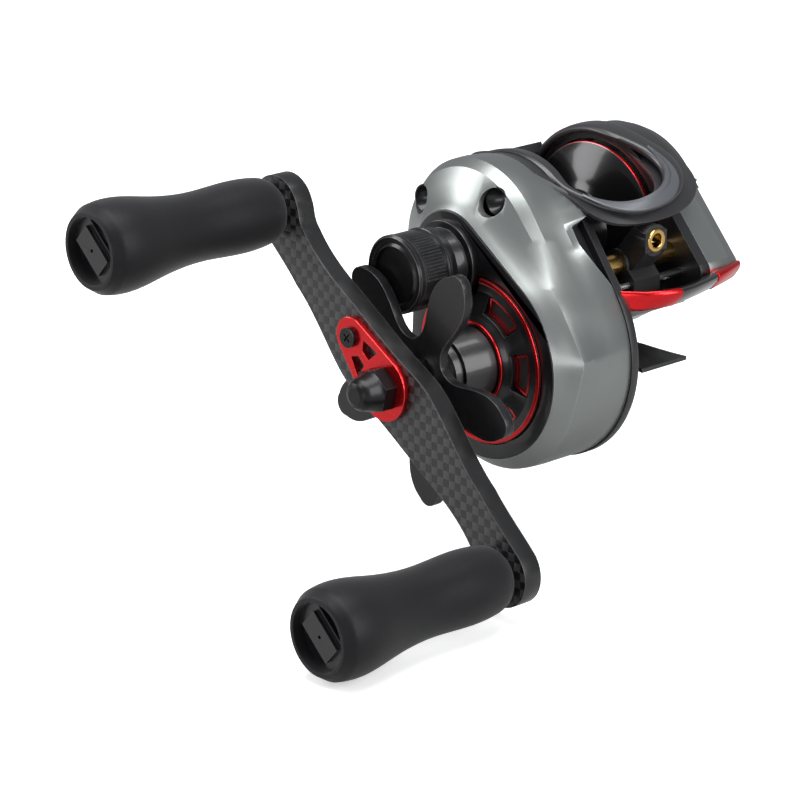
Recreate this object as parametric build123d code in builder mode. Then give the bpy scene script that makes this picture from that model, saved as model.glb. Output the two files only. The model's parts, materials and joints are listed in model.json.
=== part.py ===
from build123d import *
import os
from math import acos, atan2, cos, degrees, hypot, radians, sin, tan

# Baitcasting reel, right-hand retrieve. Millimetres. The origin is the centre of the foot's flat seat.
# +X points to the rod tip, +Y to the palm side (the handle is on -Y), +Z away from the rod.

# --- axes across the reel, as (x, z) ------------------------------------------------------------
DRIVE = (5.5, 3.0)
SPOOL = (-4.7, 23.0)
WORM = (17.1, 21.2)
GUIDE_ROD = (20.8, 17.2)
RING_EYE = (25.1, 27.5)

# --- stations along Y ---------------------------------------------------------------------------
COVER_SEAM = -12.5
COVER_CREASE = -28.5
COVER_RIM = -32.5
PALM_SEAM = 15.5
PALM_FACE = 25.5
STAR_BACK = -49.3
ARM_BACK = -55.5

# --- driving sizes ------------------------------------------------------------------------------
LOBE_R = 25.4          # cover round the main gear
HEAD_R = 21.6          # cover round the spool's end
COVER_WALL = 1.4
RIM_R = 22.0           # flat rim of the dish
DISH_R = 18.75         # opening in the rim
KNOB_SADDLE_R = 10.5   # rim carried up round the tension knob
SPOOL_R = 18.65
SPOOL_HALF = 12.0
HUB_R = 8.5
SPOOL_SHAFT_R = 1.5
SIDE_WALL = 2.9
FRAME_RING = 2.0
HOOD_WALL = 2.0
SHAFT_R = 3.0
GEAR_TEETH = 94
PINION_TEETH = 14
ARM_LENGTH = 95.0      # from knob centre to knob centre
ARM_ANGLE = 42.0       # the arm's lower half, below the horizontal
ARM_THICK = 4.5
KNOB_END_R = 10.0
KNOB_LENGTH = 48.8
STAR_R = 28.0
STAR_THICK = 2.2
TENSION_R = 8.5
STEM_R = 5.2           # threaded stem under the tension knob
SADDLE_R = 9.8         # metal left round that stem
FOOT_LENGTH = 58.0
FOOT_WIDTH = 14.0
FOOT_THICK = 1.5
RUN = 0.05             # running clearance on a radius
GAP = 0.3              # clearance between faces that move past each other

KNOB_SCREW_R = 1.2
SCREW_R = 1.2
EYE_R = 2.6
EYE_HOLE_R = 1.5
TUBE_R = 2.3
TUBE_BORE_R = 1.7
WORM_R = 1.35

os.makedirs("parts", exist_ok=True)


# --- shared helpers -----------------------------------------------------------------------------
def across(y):
    """The plane square to the reel's width at station y: local x, y are +X, +Z; extrusion goes to -Y."""
    return Plane(origin=(0, y, 0), x_dir=(1, 0, 0), z_dir=(0, -1, 0))


def turned(centre, *outlines):
    """Solids of revolution about the Y axis through centre; each outline is a list of (y, radius)."""
    plane = Plane(origin=(centre[0], 0, centre[1]), x_dir=(0, 1, 0), z_dir=(1, 0, 0))
    with BuildPart() as piece:
        for outline in outlines:
            with BuildSketch(plane):
                with BuildLine():
                    Polyline(*outline, close=True)
                make_face()
            revolve(axis=Axis((centre[0], 0, centre[1]), (0, 1, 0)))
    return piece


def band(near, far, outer, inner=0.0):
    """Outline of a plain ring from y near to y far."""
    return [(near, inner), (near, outer), (far, outer), (far, inner)]


def polar(centre, radius, angle):
    """The (x, z) point at an angle in degrees about a centre."""
    return (centre[0] + radius * cos(radians(angle)), centre[1] + radius * sin(radians(angle)))


def sector(centre, inner, outer, start, stop):
    """Sketch a ring sector about centre, from start to stop degrees."""
    middle = (start + stop) / 2
    with BuildLine() as edge:
        ThreePointArc(*(polar(centre, outer, a) for a in (start, middle, stop)))
        Line(polar(centre, outer, stop), polar(centre, inner, stop))
        ThreePointArc(*(polar(centre, inner, a) for a in (stop, middle, start)))
        Line(polar(centre, inner, start), polar(centre, outer, start))
    make_face(edge.edges())


def hull(*circles):
    """Sketch the convex outline round circles, each given as (centre, radius)."""
    for centre, radius in circles:
        with Locations(centre):
            Circle(radius)
    make_hull()


def clear_of_stem():
    """Cut the piece being built clear of the metal round the tension knob's stem."""
    add(turned(SPOOL, band(COVER_SEAM - 40, COVER_SEAM, SADDLE_R + GAP)).part, mode=Mode.SUBTRACT)


def save(piece, name):
    piece.part.label = name
    export_step(piece.part, f"parts/{name}.step")


def lobes(lobe, head):
    """The two lobes of the gear side, and the small point of the cover's front tip."""
    return ((DRIVE, lobe), (SPOOL, head))


def toothed(root, tip, teeth, share=0.42, turn=0.0):
    """Sketch a gear: straight-sided teeth that fill a share of the pitch at mid height."""
    pitch = 360 / teeth
    points = []
    for k in range(teeth):
        middle = turn + k * pitch
        for radius, half in ((root, 0.34), (tip, share - 0.34)):
            points.append((radius, middle - pitch * half))
        for radius, half in ((tip, share - 0.34), (root, 0.34)):
            points.append((radius, middle + pitch * half))
    with BuildLine() as edge:
        Polyline(*[(r * cos(radians(a)), r * sin(radians(a))) for r, a in points], close=True)
    make_face(edge.edges())


# --- gear train layout --------------------------------------------------------------------------
CENTRES = hypot(SPOOL[0] - DRIVE[0], SPOOL[1] - DRIVE[1])
MODULE = 2 * CENTRES / (GEAR_TEETH + PINION_TEETH)
GEAR_PITCH_R = MODULE * GEAR_TEETH / 2
PINION_PITCH_R = MODULE * PINION_TEETH / 2
TO_SPOOL = degrees(atan2(SPOOL[1] - DRIVE[1], SPOOL[0] - DRIVE[0]))
TOOTH_HEAD = 0.75      # addendum, in modules
TOOTH_FOOT = 1.15      # dedendum, in modules

WIND_MODULE = 0.5
WIND_DRIVE_TEETH = 20
WIND_IDLER_TEETH = 28
WIND_WORM_TEETH = 12
WIND_NEAR = -18.4
WIND_FAR = -16.4
wind_a = WIND_MODULE * (WIND_DRIVE_TEETH + WIND_IDLER_TEETH) / 2
wind_b = WIND_MODULE * (WIND_IDLER_TEETH + WIND_WORM_TEETH) / 2
to_worm = hypot(WORM[0] - DRIVE[0], WORM[1] - DRIVE[1])
worm_angle = degrees(atan2(WORM[1] - DRIVE[1], WORM[0] - DRIVE[0]))
idler_angle = worm_angle - degrees(acos((wind_a**2 + to_worm**2 - wind_b**2) / (2 * wind_a * to_worm)))
IDLER = polar(DRIVE, wind_a, idler_angle)
IDLER_TO_WORM = degrees(atan2(WORM[1] - IDLER[1], WORM[0] - IDLER[0]))

GEAR_NEAR = -22.2
GEAR_FAR = -19.6
WALL_NEAR = COVER_SEAM - SIDE_WALL
WALL_FAR = -10.5
SPOOL_BAY_R = SPOOL_R + 0.6
RING_R = SPOOL_BAY_R + FRAME_RING
HOOD_INNER = SPOOL_BAY_R + 1.0
BAND_INNER = SPOOL_BAY_R + 0.5
HOOD_OUTER = HOOD_INNER + HOOD_WALL
HOOD_NEAR = COVER_SEAM - 4.0
PALM_INNER = SPOOL_HALF + 0.6
PALM_SCREWS = ((21.9, 19.6), (-2.0, 2.2))
IDLER_PIN_R = 1.0
PALM_NOSE = (24.6, 18.0)
PALM_SKIRT = (-6.0, 9.0)
PALM_HEAD_R = 21.3
PALM_NOSE_R = 2.8
PALM_SKIRT_R = 11.0
FRAME_BOTTOM = FOOT_THICK
ARM_FRONT = ARM_BACK - ARM_THICK
STAR_FRONT = STAR_BACK - STAR_THICK


# The handle's own plane: local x runs along the arm to the lower knob, local y square to it and up.
DOWN_ARM = (cos(radians(ARM_ANGLE)), 0, -sin(radians(ARM_ANGLE)))
HALF_ARM = ARM_LENGTH / 2


def arm_plane(y):
    return Plane(origin=(DRIVE[0], y, DRIVE[1]), x_dir=DOWN_ARM, z_dir=(0, -1, 0))


def palm_outline(grow=0.0):
    hull((SPOOL, PALM_HEAD_R + grow), (PALM_NOSE, PALM_NOSE_R + grow), (PALM_SKIRT, PALM_SKIRT_R + grow))


# Screw recesses in the cover, as (x, z); each has a post behind it.
COVER_SCREWS = ((4.0, 37.0), (-18.5, 33.0), (-19.4, 8.0))
RECESS_R = 3.0
RECESS_FLOOR = -22.0
POST_R = 3.9

# Yoke posts stand either side of the pinion, on a line square to the two gear centres.
YOKE_ANGLE = TO_SPOOL - 90
YOKE_REACH = 8.5
YOKE_POSTS = (polar(SPOOL, YOKE_REACH, YOKE_ANGLE), polar(SPOOL, -YOKE_REACH, YOKE_ANGLE))
YOKE_NEAR = -17.5
YOKE_FAR = -16.6
YOKE_TRAVEL = 1.5
YOKE_POST_R = 1.05
CLUTCH_TRAVEL = 3.0

# Thumb bar: a pin on its leg passes through a slot in the side wall.
THUMB_PIN = (-24.0, 24.5)
THUMB_PIN_R = 0.45

# --- main frame ---------------------------------------------------------------------------------
FLANGE_R = LOBE_R + 0.4
STEM_HALF = 5.5
MOUTH_FLOOR = 12.2
TRAY_TOP = MOUTH_FLOOR + 2.4

with BuildPart() as main_frame:
    # Gear-side wall: a step inside the cover, and a flange that shows round its edge.
    with BuildSketch(across(COVER_SEAM)):
        hull(*lobes(LOBE_R - COVER_WALL - GAP, HEAD_R - COVER_WALL - GAP))
    extrude(amount=SIDE_WALL)
    with BuildSketch(across(WALL_FAR)):
        hull(*lobes(FLANGE_R, HEAD_R + 0.2))
    extrude(amount=WALL_FAR - COVER_SEAM)
    # Palm-side wall.
    with BuildSketch(across(PALM_SEAM)):
        palm_outline()
    extrude(amount=PALM_SEAM - PALM_INNER)
    # Cradle under the spool, tray in front of it, and the stem over the foot.
    with BuildSketch(across(PALM_INNER)):
        sector(SPOOL, SPOOL_BAY_R, RING_R, 196, 322)
    extrude(amount=PALM_INNER - WALL_FAR)
    with BuildSketch(across(PALM_INNER)):
        with BuildLine():
            Polyline(
                polar(SPOOL, RING_R - 0.6, 318),
                polar(SPOOL, RING_R + 1.4, 318),
                (22.5, MOUTH_FLOOR - 1.6),
                (26.4, TRAY_TOP),
                (25.0, TRAY_TOP),
                (21.5, MOUTH_FLOOR),
                close=True,
            )
        make_face()
    extrude(amount=PALM_INNER - WALL_FAR)
    with BuildSketch(Plane.XY.offset(FRAME_BOTTOM)):
        with Locations((SPOOL[0], 0)):
            RectangleRounded(24, 2 * STEM_HALF, 2.0)
    extrude(amount=SPOOL[1] - SPOOL_BAY_R - FRAME_BOTTOM)
    # Round spool bay through both walls, with a ledge on the gear side.
    with BuildSketch(across(PALM_SEAM)):
        with Locations(SPOOL):
            Circle(SPOOL_BAY_R)
    extrude(amount=PALM_SEAM + SPOOL_HALF + 0.4, mode=Mode.SUBTRACT)
    # Pinion bearing, drive bearing, worm tube and guide rod seats.
    for centre, radius, start, depth in (
        (SPOOL, 5.2, WALL_FAR, 6),
        (DRIVE, 4.5, WALL_NEAR + 2.2, 3),
        (WORM, TUBE_R, PALM_INNER + 1.6, 40),
        (GUIDE_ROD, 0.9, PALM_INNER + 1.6, 27.4),
        (PALM_SCREWS[0], 0.9, PALM_SEAM, 2.6),
        (PALM_SCREWS[1], 0.9, PALM_SEAM, 2.6),
    ):
        with BuildSketch(across(start)):
            with Locations(centre):
                Circle(radius)
        extrude(amount=depth, mode=Mode.SUBTRACT)
    # Slot for the thumb bar's pin.
    with BuildSketch(across(WALL_FAR)):
        with Locations((THUMB_PIN[0], THUMB_PIN[1] - CLUTCH_TRAVEL / 2)):
            Rectangle(2 * THUMB_PIN_R + 0.5, CLUTCH_TRAVEL + 2 * THUMB_PIN_R + 0.7)
    extrude(amount=8, mode=Mode.SUBTRACT)
    # Ledge that the hood sits on.
    with BuildSketch(across(WALL_FAR)):
        sector(SPOOL, BAND_INNER - 0.05, HEAD_R + 6, 26, 129)
    extrude(amount=8, mode=Mode.SUBTRACT)
    # Tapped holes for the cover screws, and the yoke's posts.
    with BuildSketch(across(WALL_NEAR + 2.0)):
        with Locations(*COVER_SCREWS):
            Circle(SCREW_R)
    extrude(amount=4, mode=Mode.SUBTRACT)
    with BuildSketch(across(WALL_NEAR)):
        with Locations(*YOKE_POSTS):
            Circle(YOKE_POST_R)
    extrude(amount=7)
    add(turned(IDLER, band(WIND_NEAR - 0.5, WALL_NEAR, IDLER_PIN_R)).part)
save(main_frame, "main_frame")

# --- foot ---------------------------------------------------------------------------------------
FOOT_WAIST = 9.6
FOOT_SCREWS = ((SPOOL[0] - 8, 0), (SPOOL[0], 0), (SPOOL[0] + 8, 0))
foot_end = FOOT_LENGTH / 2
with BuildPart() as reel_foot:
    with BuildSketch(Plane.XY):
        with BuildLine():
            for side in (1, -1):
                Line(
                    (side * foot_end, -side * FOOT_WIDTH / 2),
                    (side * foot_end, side * FOOT_WIDTH / 2),
                )
                Spline(
                    (side * foot_end, side * FOOT_WIDTH / 2),
                    (side * foot_end * 0.72, side * FOOT_WAIST / 2 + side * 0.7),
                    (0, side * FOOT_WAIST / 2),
                    (-side * foot_end * 0.72, side * FOOT_WAIST / 2 + side * 0.7),
                    (-side * foot_end, side * FOOT_WIDTH / 2),
                )
        make_face()
    extrude(amount=FOOT_THICK)
    # The tips thin out on top.
    for side in (1, -1):
        with BuildSketch(Plane.XZ.offset(-FOOT_WIDTH)):
            with BuildLine():
                Polyline(
                    (side * foot_end * 0.62, FOOT_THICK),
                    (side * (foot_end + 1), FOOT_THICK * 0.62),
                    (side * (foot_end + 1), FOOT_THICK + 1),
                    (side * foot_end * 0.62, FOOT_THICK + 1),
                    close=True,
                )
            make_face()
        extrude(amount=2 * FOOT_WIDTH, mode=Mode.SUBTRACT)
    with Locations(*[(x, y, 0) for x, y in FOOT_SCREWS]):
        with Locations(Rotation(180, 0, 0)):
            CounterBoreHole(radius=0.9, counter_bore_radius=1.7, counter_bore_depth=0.8, depth=FOOT_THICK)
save(reel_foot, "reel_foot")

with BuildPart() as foot_screws:
    with BuildSketch(Plane.XY.offset(0.15)):
        with Locations(*FOOT_SCREWS):
            Circle(1.6)
    extrude(amount=0.65)
    with BuildSketch(Plane.XY.offset(0.8)):
        with Locations(*FOOT_SCREWS):
            Circle(0.85)
    extrude(amount=FOOT_THICK - 0.8)
save(foot_screws, "foot_screws")

# --- front bar ----------------------------------------------------------------------------------
BAND_LOW = TRAY_TOP
BAND_HEIGHT = 4.2
BAND_THICK = 2.0
BAND_ENDS = ((25.9, COVER_SEAM), (33.4, 1.0), (27.3, PALM_FACE - 0.4))
RED_PROUD = 0.35


def bar_arc(inward):
    """Points of the bar's plan arc, moved back by inward."""
    return [(x - inward, y) for x, y in BAND_ENDS]


def bar_strip(front, back):
    """Sketch the plan of the bar between two depths."""
    outer, inner = bar_arc(front), bar_arc(back)
    with BuildLine() as edge:
        ThreePointArc(*outer)
        Line(outer[2], inner[2])
        ThreePointArc(*reversed(inner))
        Line(inner[0], outer[0])
    make_face(edge.edges())


with BuildPart() as front_band:
    with BuildSketch(Plane.XY.offset(BAND_LOW)):
        bar_strip(RED_PROUD, BAND_THICK)
    extrude(amount=BAND_HEIGHT)
    # Web back to the frame's tray.
    with BuildSketch(Plane.XY.offset(BAND_LOW)):
        with BuildLine():
            outer = bar_arc(BAND_THICK)
            ThreePointArc(*outer)
            Polyline(outer[2], (24.2, PALM_SEAM), (24.2, WALL_FAR), (23.4, COVER_SEAM), outer[0])
        make_face()
    extrude(amount=1.4)
    with BuildSketch(across(PALM_FACE)):
        palm_outline(GAP)
    extrude(amount=PALM_FACE - PALM_INNER, mode=Mode.SUBTRACT)
    with BuildSketch(across(WALL_FAR + 0.01)):
        hull(*lobes(FLANGE_R + 0.05, HEAD_R))
    extrude(amount=6, mode=Mode.SUBTRACT)
save(front_band, "front_band")

with BuildPart() as front_band_red:
    with BuildSketch(Plane.XY.offset(BAND_LOW)):
        bar_strip(0.0, RED_PROUD)
    extrude(amount=BAND_HEIGHT)
    for low, high in ((0.6, 13.2), (-30, WALL_FAR)):
        with BuildSketch(Plane.XY):
            with Locations((30, (low + high) / 2)):
                Rectangle(40, high - low)
        extrude(amount=40, mode=Mode.SUBTRACT)
    with BuildSketch(across(PALM_FACE)):
        palm_outline(GAP)
    extrude(amount=PALM_FACE - PALM_INNER, mode=Mode.SUBTRACT)
save(front_band_red, "front_band_red")

# --- hood ---------------------------------------------------------------------------------------
HOOD_HOLE = (-9.4, PALM_INNER)
VISOR = ((12.2, 33.4), (13.4, 36.0), (19.6, 36.1), (25.0, 32.4), (23.6, 31.0), (18.5, 33.2))
with BuildPart() as hood:
    for start, end, angle, outer in (
        (HOOD_HOLE[0], COVER_SEAM + 0.1, 27, BAND_INNER + 0.6),
        (COVER_SEAM + 0.1, HOOD_NEAR, 37, BAND_INNER + 1.0),
    ):
        with BuildSketch(across(start)):
            sector(SPOOL, BAND_INNER, outer, angle, 128)
        extrude(amount=start - end)
    with BuildSketch(across(PALM_SEAM)):
        sector(SPOOL, HOOD_INNER, HOOD_OUTER, 20, 160)
    extrude(amount=PALM_SEAM - HOOD_HOLE[1])
    with BuildSketch(across(PALM_SEAM)):
        with BuildLine():
            Polyline(*VISOR, close=True)
        make_face()
    extrude(amount=PALM_SEAM - COVER_SEAM - 0.1)
    # The opening over the spool.
    with BuildSketch(Plane.XY.offset(28)):
        with BuildLine():
            Polyline(
                (-30, HOOD_HOLE[0]), (9, HOOD_HOLE[0]), (16.5, -5), (18.8, 2), (17.5, 8),
                (13, HOOD_HOLE[1]),
            )
            Line((13, HOOD_HOLE[1]), (-30, HOOD_HOLE[1]))
            Line((-30, HOOD_HOLE[1]), (-30, HOOD_HOLE[0]))
        make_face()
    extrude(amount=30, mode=Mode.SUBTRACT)
    # Clear of both side walls.
    with BuildSketch(across(PALM_SEAM + 1)):
        with Locations(SPOOL):
            Circle(BAND_INNER)
    extrude(amount=40, mode=Mode.SUBTRACT)
    with BuildSketch(across(PALM_SEAM)):
        palm_outline()
    extrude(amount=PALM_SEAM - PALM_INNER, mode=Mode.SUBTRACT)
save(hood, "hood")

with BuildPart() as hood_insert:
    with BuildSketch(across(7.5)):
        with BuildLine():
            Polyline((20.2, 35.8), (24.2, 33.0), (24.5, 33.4), (20.5, 36.2), close=True)
        make_face()
    extrude(amount=14.0)
save(hood_insert, "hood_insert")

# --- gear-side cover ----------------------------------------------------------------------------
TIP = (15.8, 32.6)
MOUTH_EDGE = ((9.6, 30.2), (16.6, 31.0), (24.0, 34.0), (40, 24), (24.6, 20.6))
with BuildPart() as shoulder:
    # What the cover loses over the spool, where it slopes down to the hood.
    add(turned(SPOOL, [(-23, HEAD_R), (-16, BAND_INNER + 0.8), (-16, HEAD_R + 3), (-23, HEAD_R + 3)]).part)
    with BuildSketch(across(-15)):
        sector(SPOOL, SPOOL_BAY_R, HEAD_R + 5, 60, 128)
    extrude(amount=9, mode=Mode.INTERSECT)
with BuildPart() as gear_side_cover:
    with BuildSketch(across(COVER_SEAM)):
        hull(*lobes(LOBE_R, HEAD_R), (TIP, 1.8))
    extrude(amount=COVER_SEAM + 24.5, taper=0.5)
    with BuildSketch(across(-24.5)):
        hull(*lobes(LOBE_R - 0.15, HEAD_R - 0.15))
    extrude(amount=-24.5 - COVER_CREASE, taper=8)
    # Dish rim, carried up round the tension knob.
    with BuildSketch(across(COVER_CREASE)):
        hull((DRIVE, LOBE_R - 0.8), (SPOOL, KNOB_SADDLE_R + 2.4))
    extrude(amount=COVER_CREASE - COVER_RIM, taper=32)
    # Hollow inside.
    with BuildSketch(across(COVER_SEAM)):
        hull(*lobes(LOBE_R - COVER_WALL, HEAD_R - COVER_WALL))
    extrude(amount=COVER_SEAM + 27.0, mode=Mode.SUBTRACT)
    with BuildSketch(across(-27.0)):
        with Locations(DRIVE):
            Circle(RIM_R - COVER_WALL - 0.2)
        with Locations(SPOOL):
            Circle(SADDLE_R, mode=Mode.SUBTRACT)
    extrude(amount=-27.0 - COVER_RIM - COVER_WALL, mode=Mode.SUBTRACT)
    # Posts with their screw recesses.
    with BuildSketch(across(COVER_SEAM)):
        with Locations(*COVER_SCREWS):
            Circle(POST_R)
    extrude(amount=COVER_SEAM + 27.5)
    with BuildSketch(across(WALL_FAR)):
        hull(*lobes(LOBE_R - COVER_WALL - 0.05, HEAD_R - COVER_WALL - 0.05))
    extrude(amount=WALL_FAR - WALL_NEAR, mode=Mode.SUBTRACT)
    with BuildSketch(across(RECESS_FLOOR)):
        with Locations(*COVER_SCREWS):
            Circle(RECESS_R)
    extrude(amount=20, mode=Mode.SUBTRACT)
    with BuildSketch(across(COVER_SEAM)):
        with Locations(*COVER_SCREWS):
            Circle(SCREW_R)
    extrude(amount=20, mode=Mode.SUBTRACT)
    # Dish opening, tension knob seat, hood ledge, front mouth.
    with BuildSketch(across(COVER_SEAM)):
        with Locations(DRIVE):
            Circle(DISH_R)
        with Locations(SPOOL):
            Circle(SADDLE_R, mode=Mode.SUBTRACT)
    extrude(amount=30, mode=Mode.SUBTRACT)
    with BuildSketch(across(COVER_SEAM)):
        with Locations(SPOOL):
            Circle(STEM_R + 0.2)
    extrude(amount=30, mode=Mode.SUBTRACT)
    with BuildSketch(across(COVER_SEAM + 1)):
        sector(SPOOL, BAND_INNER - 0.1, HEAD_R + 8, 36, 129)
    extrude(amount=COVER_SEAM + 1 - HOOD_NEAR + 0.1, mode=Mode.SUBTRACT)
    add(shoulder.part, mode=Mode.SUBTRACT)
    with BuildSketch(across(COVER_SEAM + 1)):
        with BuildLine():
            Polyline(*MOUTH_EDGE, close=True)
        make_face()
    extrude(amount=4.5, mode=Mode.SUBTRACT)
save(gear_side_cover, "gear_side_cover")

with BuildPart() as cover_screws:
    for start, amount, radius in (
        (RECESS_FLOOR, 1.5, 2.5),
        (WALL_NEAR + 2.0, WALL_NEAR + 2.0 - RECESS_FLOOR, SCREW_R),
    ):
        with BuildSketch(across(start)):
            with Locations(*COVER_SCREWS):
                Circle(radius)
        extrude(amount=amount)
    with BuildSketch(across(RECESS_FLOOR - 0.7)):
        with Locations(*COVER_SCREWS):
            Rectangle(3.0, 0.6)
            Rectangle(0.6, 3.0)
    extrude(amount=1, mode=Mode.SUBTRACT)
save(cover_screws, "cover_screws")

# --- windowed disc in the dish ------------------------------------------------------------------
DISC_R = DISH_R - 0.35
BOSS_R = 8.3
WINDOWS = 6
disc = turned(DRIVE, [
    (COVER_RIM + 0.3, BOSS_R), (COVER_RIM + 0.3, DISC_R), (COVER_RIM - 0.2, DISC_R),
    (COVER_RIM - 0.2, 15.4),
    (COVER_RIM - 1.6, 10.9), (COVER_RIM - 2.6, 9.6), (COVER_RIM - 2.6, BOSS_R),
], [
    (COVER_RIM + COVER_WALL, DISC_R - 2.5), (COVER_RIM + COVER_WALL, DISC_R + 1.9),
    (COVER_RIM + COVER_WALL + 0.8, DISC_R + 1.9), (COVER_RIM + COVER_WALL + 0.8, DISC_R - 2.5),
], [
    (COVER_RIM + 0.3, DISC_R - 2.5), (COVER_RIM + 0.3, DISC_R), (COVER_RIM + COVER_WALL, DISC_R),
    (COVER_RIM + COVER_WALL, DISC_R - 2.5),
])
with BuildPart() as drive_cover_disc:
    add(disc.part)
    for k in range(WINDOWS):
        with BuildSketch(across(COVER_RIM + 4)):
            sector(DRIVE, 11.2, 15.2, k * 60 - 20, k * 60 + 20)
        extrude(amount=10, mode=Mode.SUBTRACT)
    clear_of_stem()
save(drive_cover_disc, "drive_cover_disc")

rings = turned(
    DRIVE,
    band(COVER_RIM - 0.75, COVER_RIM - 0.2, DISC_R, DISC_R - 1.0),
    band(COVER_RIM - 3.1, COVER_RIM - 2.6, 9.5, 8.75),
)
with BuildPart() as disc_trim_rings:
    add(rings.part)
    clear_of_stem()
save(disc_trim_rings, "disc_trim_rings")

with BuildPart() as window_screen:
    add(turned(DRIVE, band(COVER_RIM + 0.35, COVER_RIM + 0.9, DISC_R - 2.6, BOSS_R + 0.1)).part)
    clear_of_stem()
save(window_screen, "window_screen")

# --- clutch housing and one-way bearing ---------------------------------------------------------
BOSS_FRONT = -46.4
CLUTCH_R = 6.9
SLEEVE_R = 4.5
housing = turned(DRIVE, [
    (COVER_RIM + 3.5, CLUTCH_R), (COVER_RIM + 3.5, DISC_R - 2.8), (COVER_RIM + 1.0, DISC_R - 2.8),
    (COVER_RIM + 1.0, BOSS_R), (BOSS_FRONT + 1.9, BOSS_R), (BOSS_FRONT + 1.9, 7.2), (BOSS_FRONT, 7.2),
    (BOSS_FRONT, SLEEVE_R + GAP), (BOSS_FRONT + 1.2, SLEEVE_R + GAP), (BOSS_FRONT + 1.2, CLUTCH_R),
])
with BuildPart() as clutch_housing:
    add(housing.part)
    clear_of_stem()
save(clutch_housing, "clutch_housing")

CLUTCH_NEAR = BOSS_FRONT + 1.2
CLUTCH_FAR = -34.5
one_way_bearing = turned(DRIVE, band(CLUTCH_NEAR, CLUTCH_FAR, CLUTCH_R, SLEEVE_R + RUN))
save(one_way_bearing, "one_way_bearing")

# --- drive shaft and what turns with it ---------------------------------------------------------
SHAFT_END = WALL_NEAR + 1.9
JOURNAL_R = 2.0
STUB_R = 2.2
STUB_END = ARM_FRONT - 6.0
FLAT_HALF = 2.3
with BuildPart() as drive_shaft:
    add(turned(DRIVE, [
        (SHAFT_END, 0), (SHAFT_END, JOURNAL_R), (WALL_NEAR - 0.4, JOURNAL_R),
        (WALL_NEAR - 0.4, SHAFT_R),
        (ARM_FRONT, SHAFT_R), (ARM_FRONT, STUB_R), (STUB_END, STUB_R), (STUB_END, 0),
    ]).part)
    # Two flats carry the star's spacer and the handle.
    with BuildSketch(arm_plane(ARM_BACK)):
        Rectangle(4 * SHAFT_R, 4 * SHAFT_R)
        Rectangle(4 * SHAFT_R, 2 * FLAT_HALF, mode=Mode.SUBTRACT)
    extrude(amount=ARM_THICK, mode=Mode.SUBTRACT)
save(drive_shaft, "drive_shaft")

drive_shaft_bearing = turned(DRIVE, band(WALL_NEAR, WALL_NEAR + 2.2, 4.5, JOURNAL_R + RUN))
save(drive_shaft_bearing, "drive_shaft_bearing")

GEAR_TIP_R = GEAR_PITCH_R + TOOTH_HEAD * MODULE
GEAR_ROOT_R = GEAR_PITCH_R - TOOTH_FOOT * MODULE
with BuildPart() as main_gear:
    with BuildSketch(Plane(origin=(DRIVE[0], GEAR_FAR, DRIVE[1]), x_dir=(1, 0, 0), z_dir=(0, -1, 0))):
        toothed(GEAR_ROOT_R, GEAR_TIP_R, GEAR_TEETH, turn=TO_SPOOL)
        Circle(SHAFT_R, mode=Mode.SUBTRACT)
        with PolarLocations(15.9, 10):
            Circle(1.7, mode=Mode.SUBTRACT)
    extrude(amount=GEAR_FAR - GEAR_NEAR)
save(main_gear, "main_gear")

DRAG_R = 13.0
DISC_THICK = 0.9
drag_steps = [GEAR_NEAR - k * DISC_THICK for k in range(5)]
drag_washers = turned(DRIVE, *[
    band(drag_steps[k] - DISC_THICK, drag_steps[k], DRAG_R, SHAFT_R) for k in (0, 2)
])
save(drag_washers, "drag_washers")
drag_plates = turned(DRIVE, *[
    band(drag_steps[k] - DISC_THICK, drag_steps[k], DRAG_R - 0.4, SHAFT_R) for k in (1, 3)
])
save(drag_plates, "drag_plates")

with BuildPart() as ratchet_wheel:
    with BuildSketch(Plane(origin=(DRIVE[0], GEAR_FAR + 0.9, DRIVE[1]), x_dir=(1, 0, 0), z_dir=(0, -1, 0))):
        with BuildLine():
            points = []
            for k in range(12):
                points += [(7.2, 30 * k), (9.0, 30 * k + 6)]
            Polyline(*[(r * cos(radians(a)), r * sin(radians(a))) for r, a in points], close=True)
        make_face()
        Circle(SHAFT_R, mode=Mode.SUBTRACT)
    extrude(amount=0.9)
save(ratchet_wheel, "ratchet_wheel")

WIND_HEAD = 0.75 * WIND_MODULE
WIND_FOOT = 1.15 * WIND_MODULE


def wind_gear(centre, teeth, bore, turn):
    """One small gear of the line guide's drive."""
    with BuildPart() as gear:
        with BuildSketch(Plane(origin=(centre[0], WIND_FAR, centre[1]), x_dir=(1, 0, 0), z_dir=(0, -1, 0))):
            pitch_r = WIND_MODULE * teeth / 2
            toothed(pitch_r - WIND_FOOT, pitch_r + WIND_HEAD, teeth, turn=turn)
            Circle(bore, mode=Mode.SUBTRACT)
        extrude(amount=WIND_FAR - WIND_NEAR)
    return gear


# Each pair has a tooth of one gear in a gap of the other on the line between their centres.
drive_phase = idler_angle
idler_phase = idler_angle + 180 + 180 / WIND_IDLER_TEETH
idler_pitch = 360 / WIND_IDLER_TEETH
idler_at_worm = (IDLER_TO_WORM - idler_phase) / idler_pitch
worm_pitch = 360 / WIND_WORM_TEETH
worm_phase = IDLER_TO_WORM + 180 + worm_pitch * (0.5 + idler_at_worm % 1.0)
save(wind_gear(DRIVE, WIND_DRIVE_TEETH, SHAFT_R, drive_phase), "wind_drive_gear")
save(wind_gear(IDLER, WIND_IDLER_TEETH, IDLER_PIN_R + RUN, idler_phase), "wind_idler_gear")
save(wind_gear(WORM, WIND_WORM_TEETH, WORM_R, worm_phase), "wind_worm_gear")

pressure_sleeve = turned(DRIVE, [
    (drag_steps[4], SHAFT_R), (drag_steps[4], 9.0), (drag_steps[4] - 1.2, 9.0),
    (drag_steps[4] - 1.2, SLEEVE_R),
    (BOSS_FRONT - 0.6, SLEEVE_R), (BOSS_FRONT - 0.6, SHAFT_R),
])
save(pressure_sleeve, "pressure_sleeve")

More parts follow.
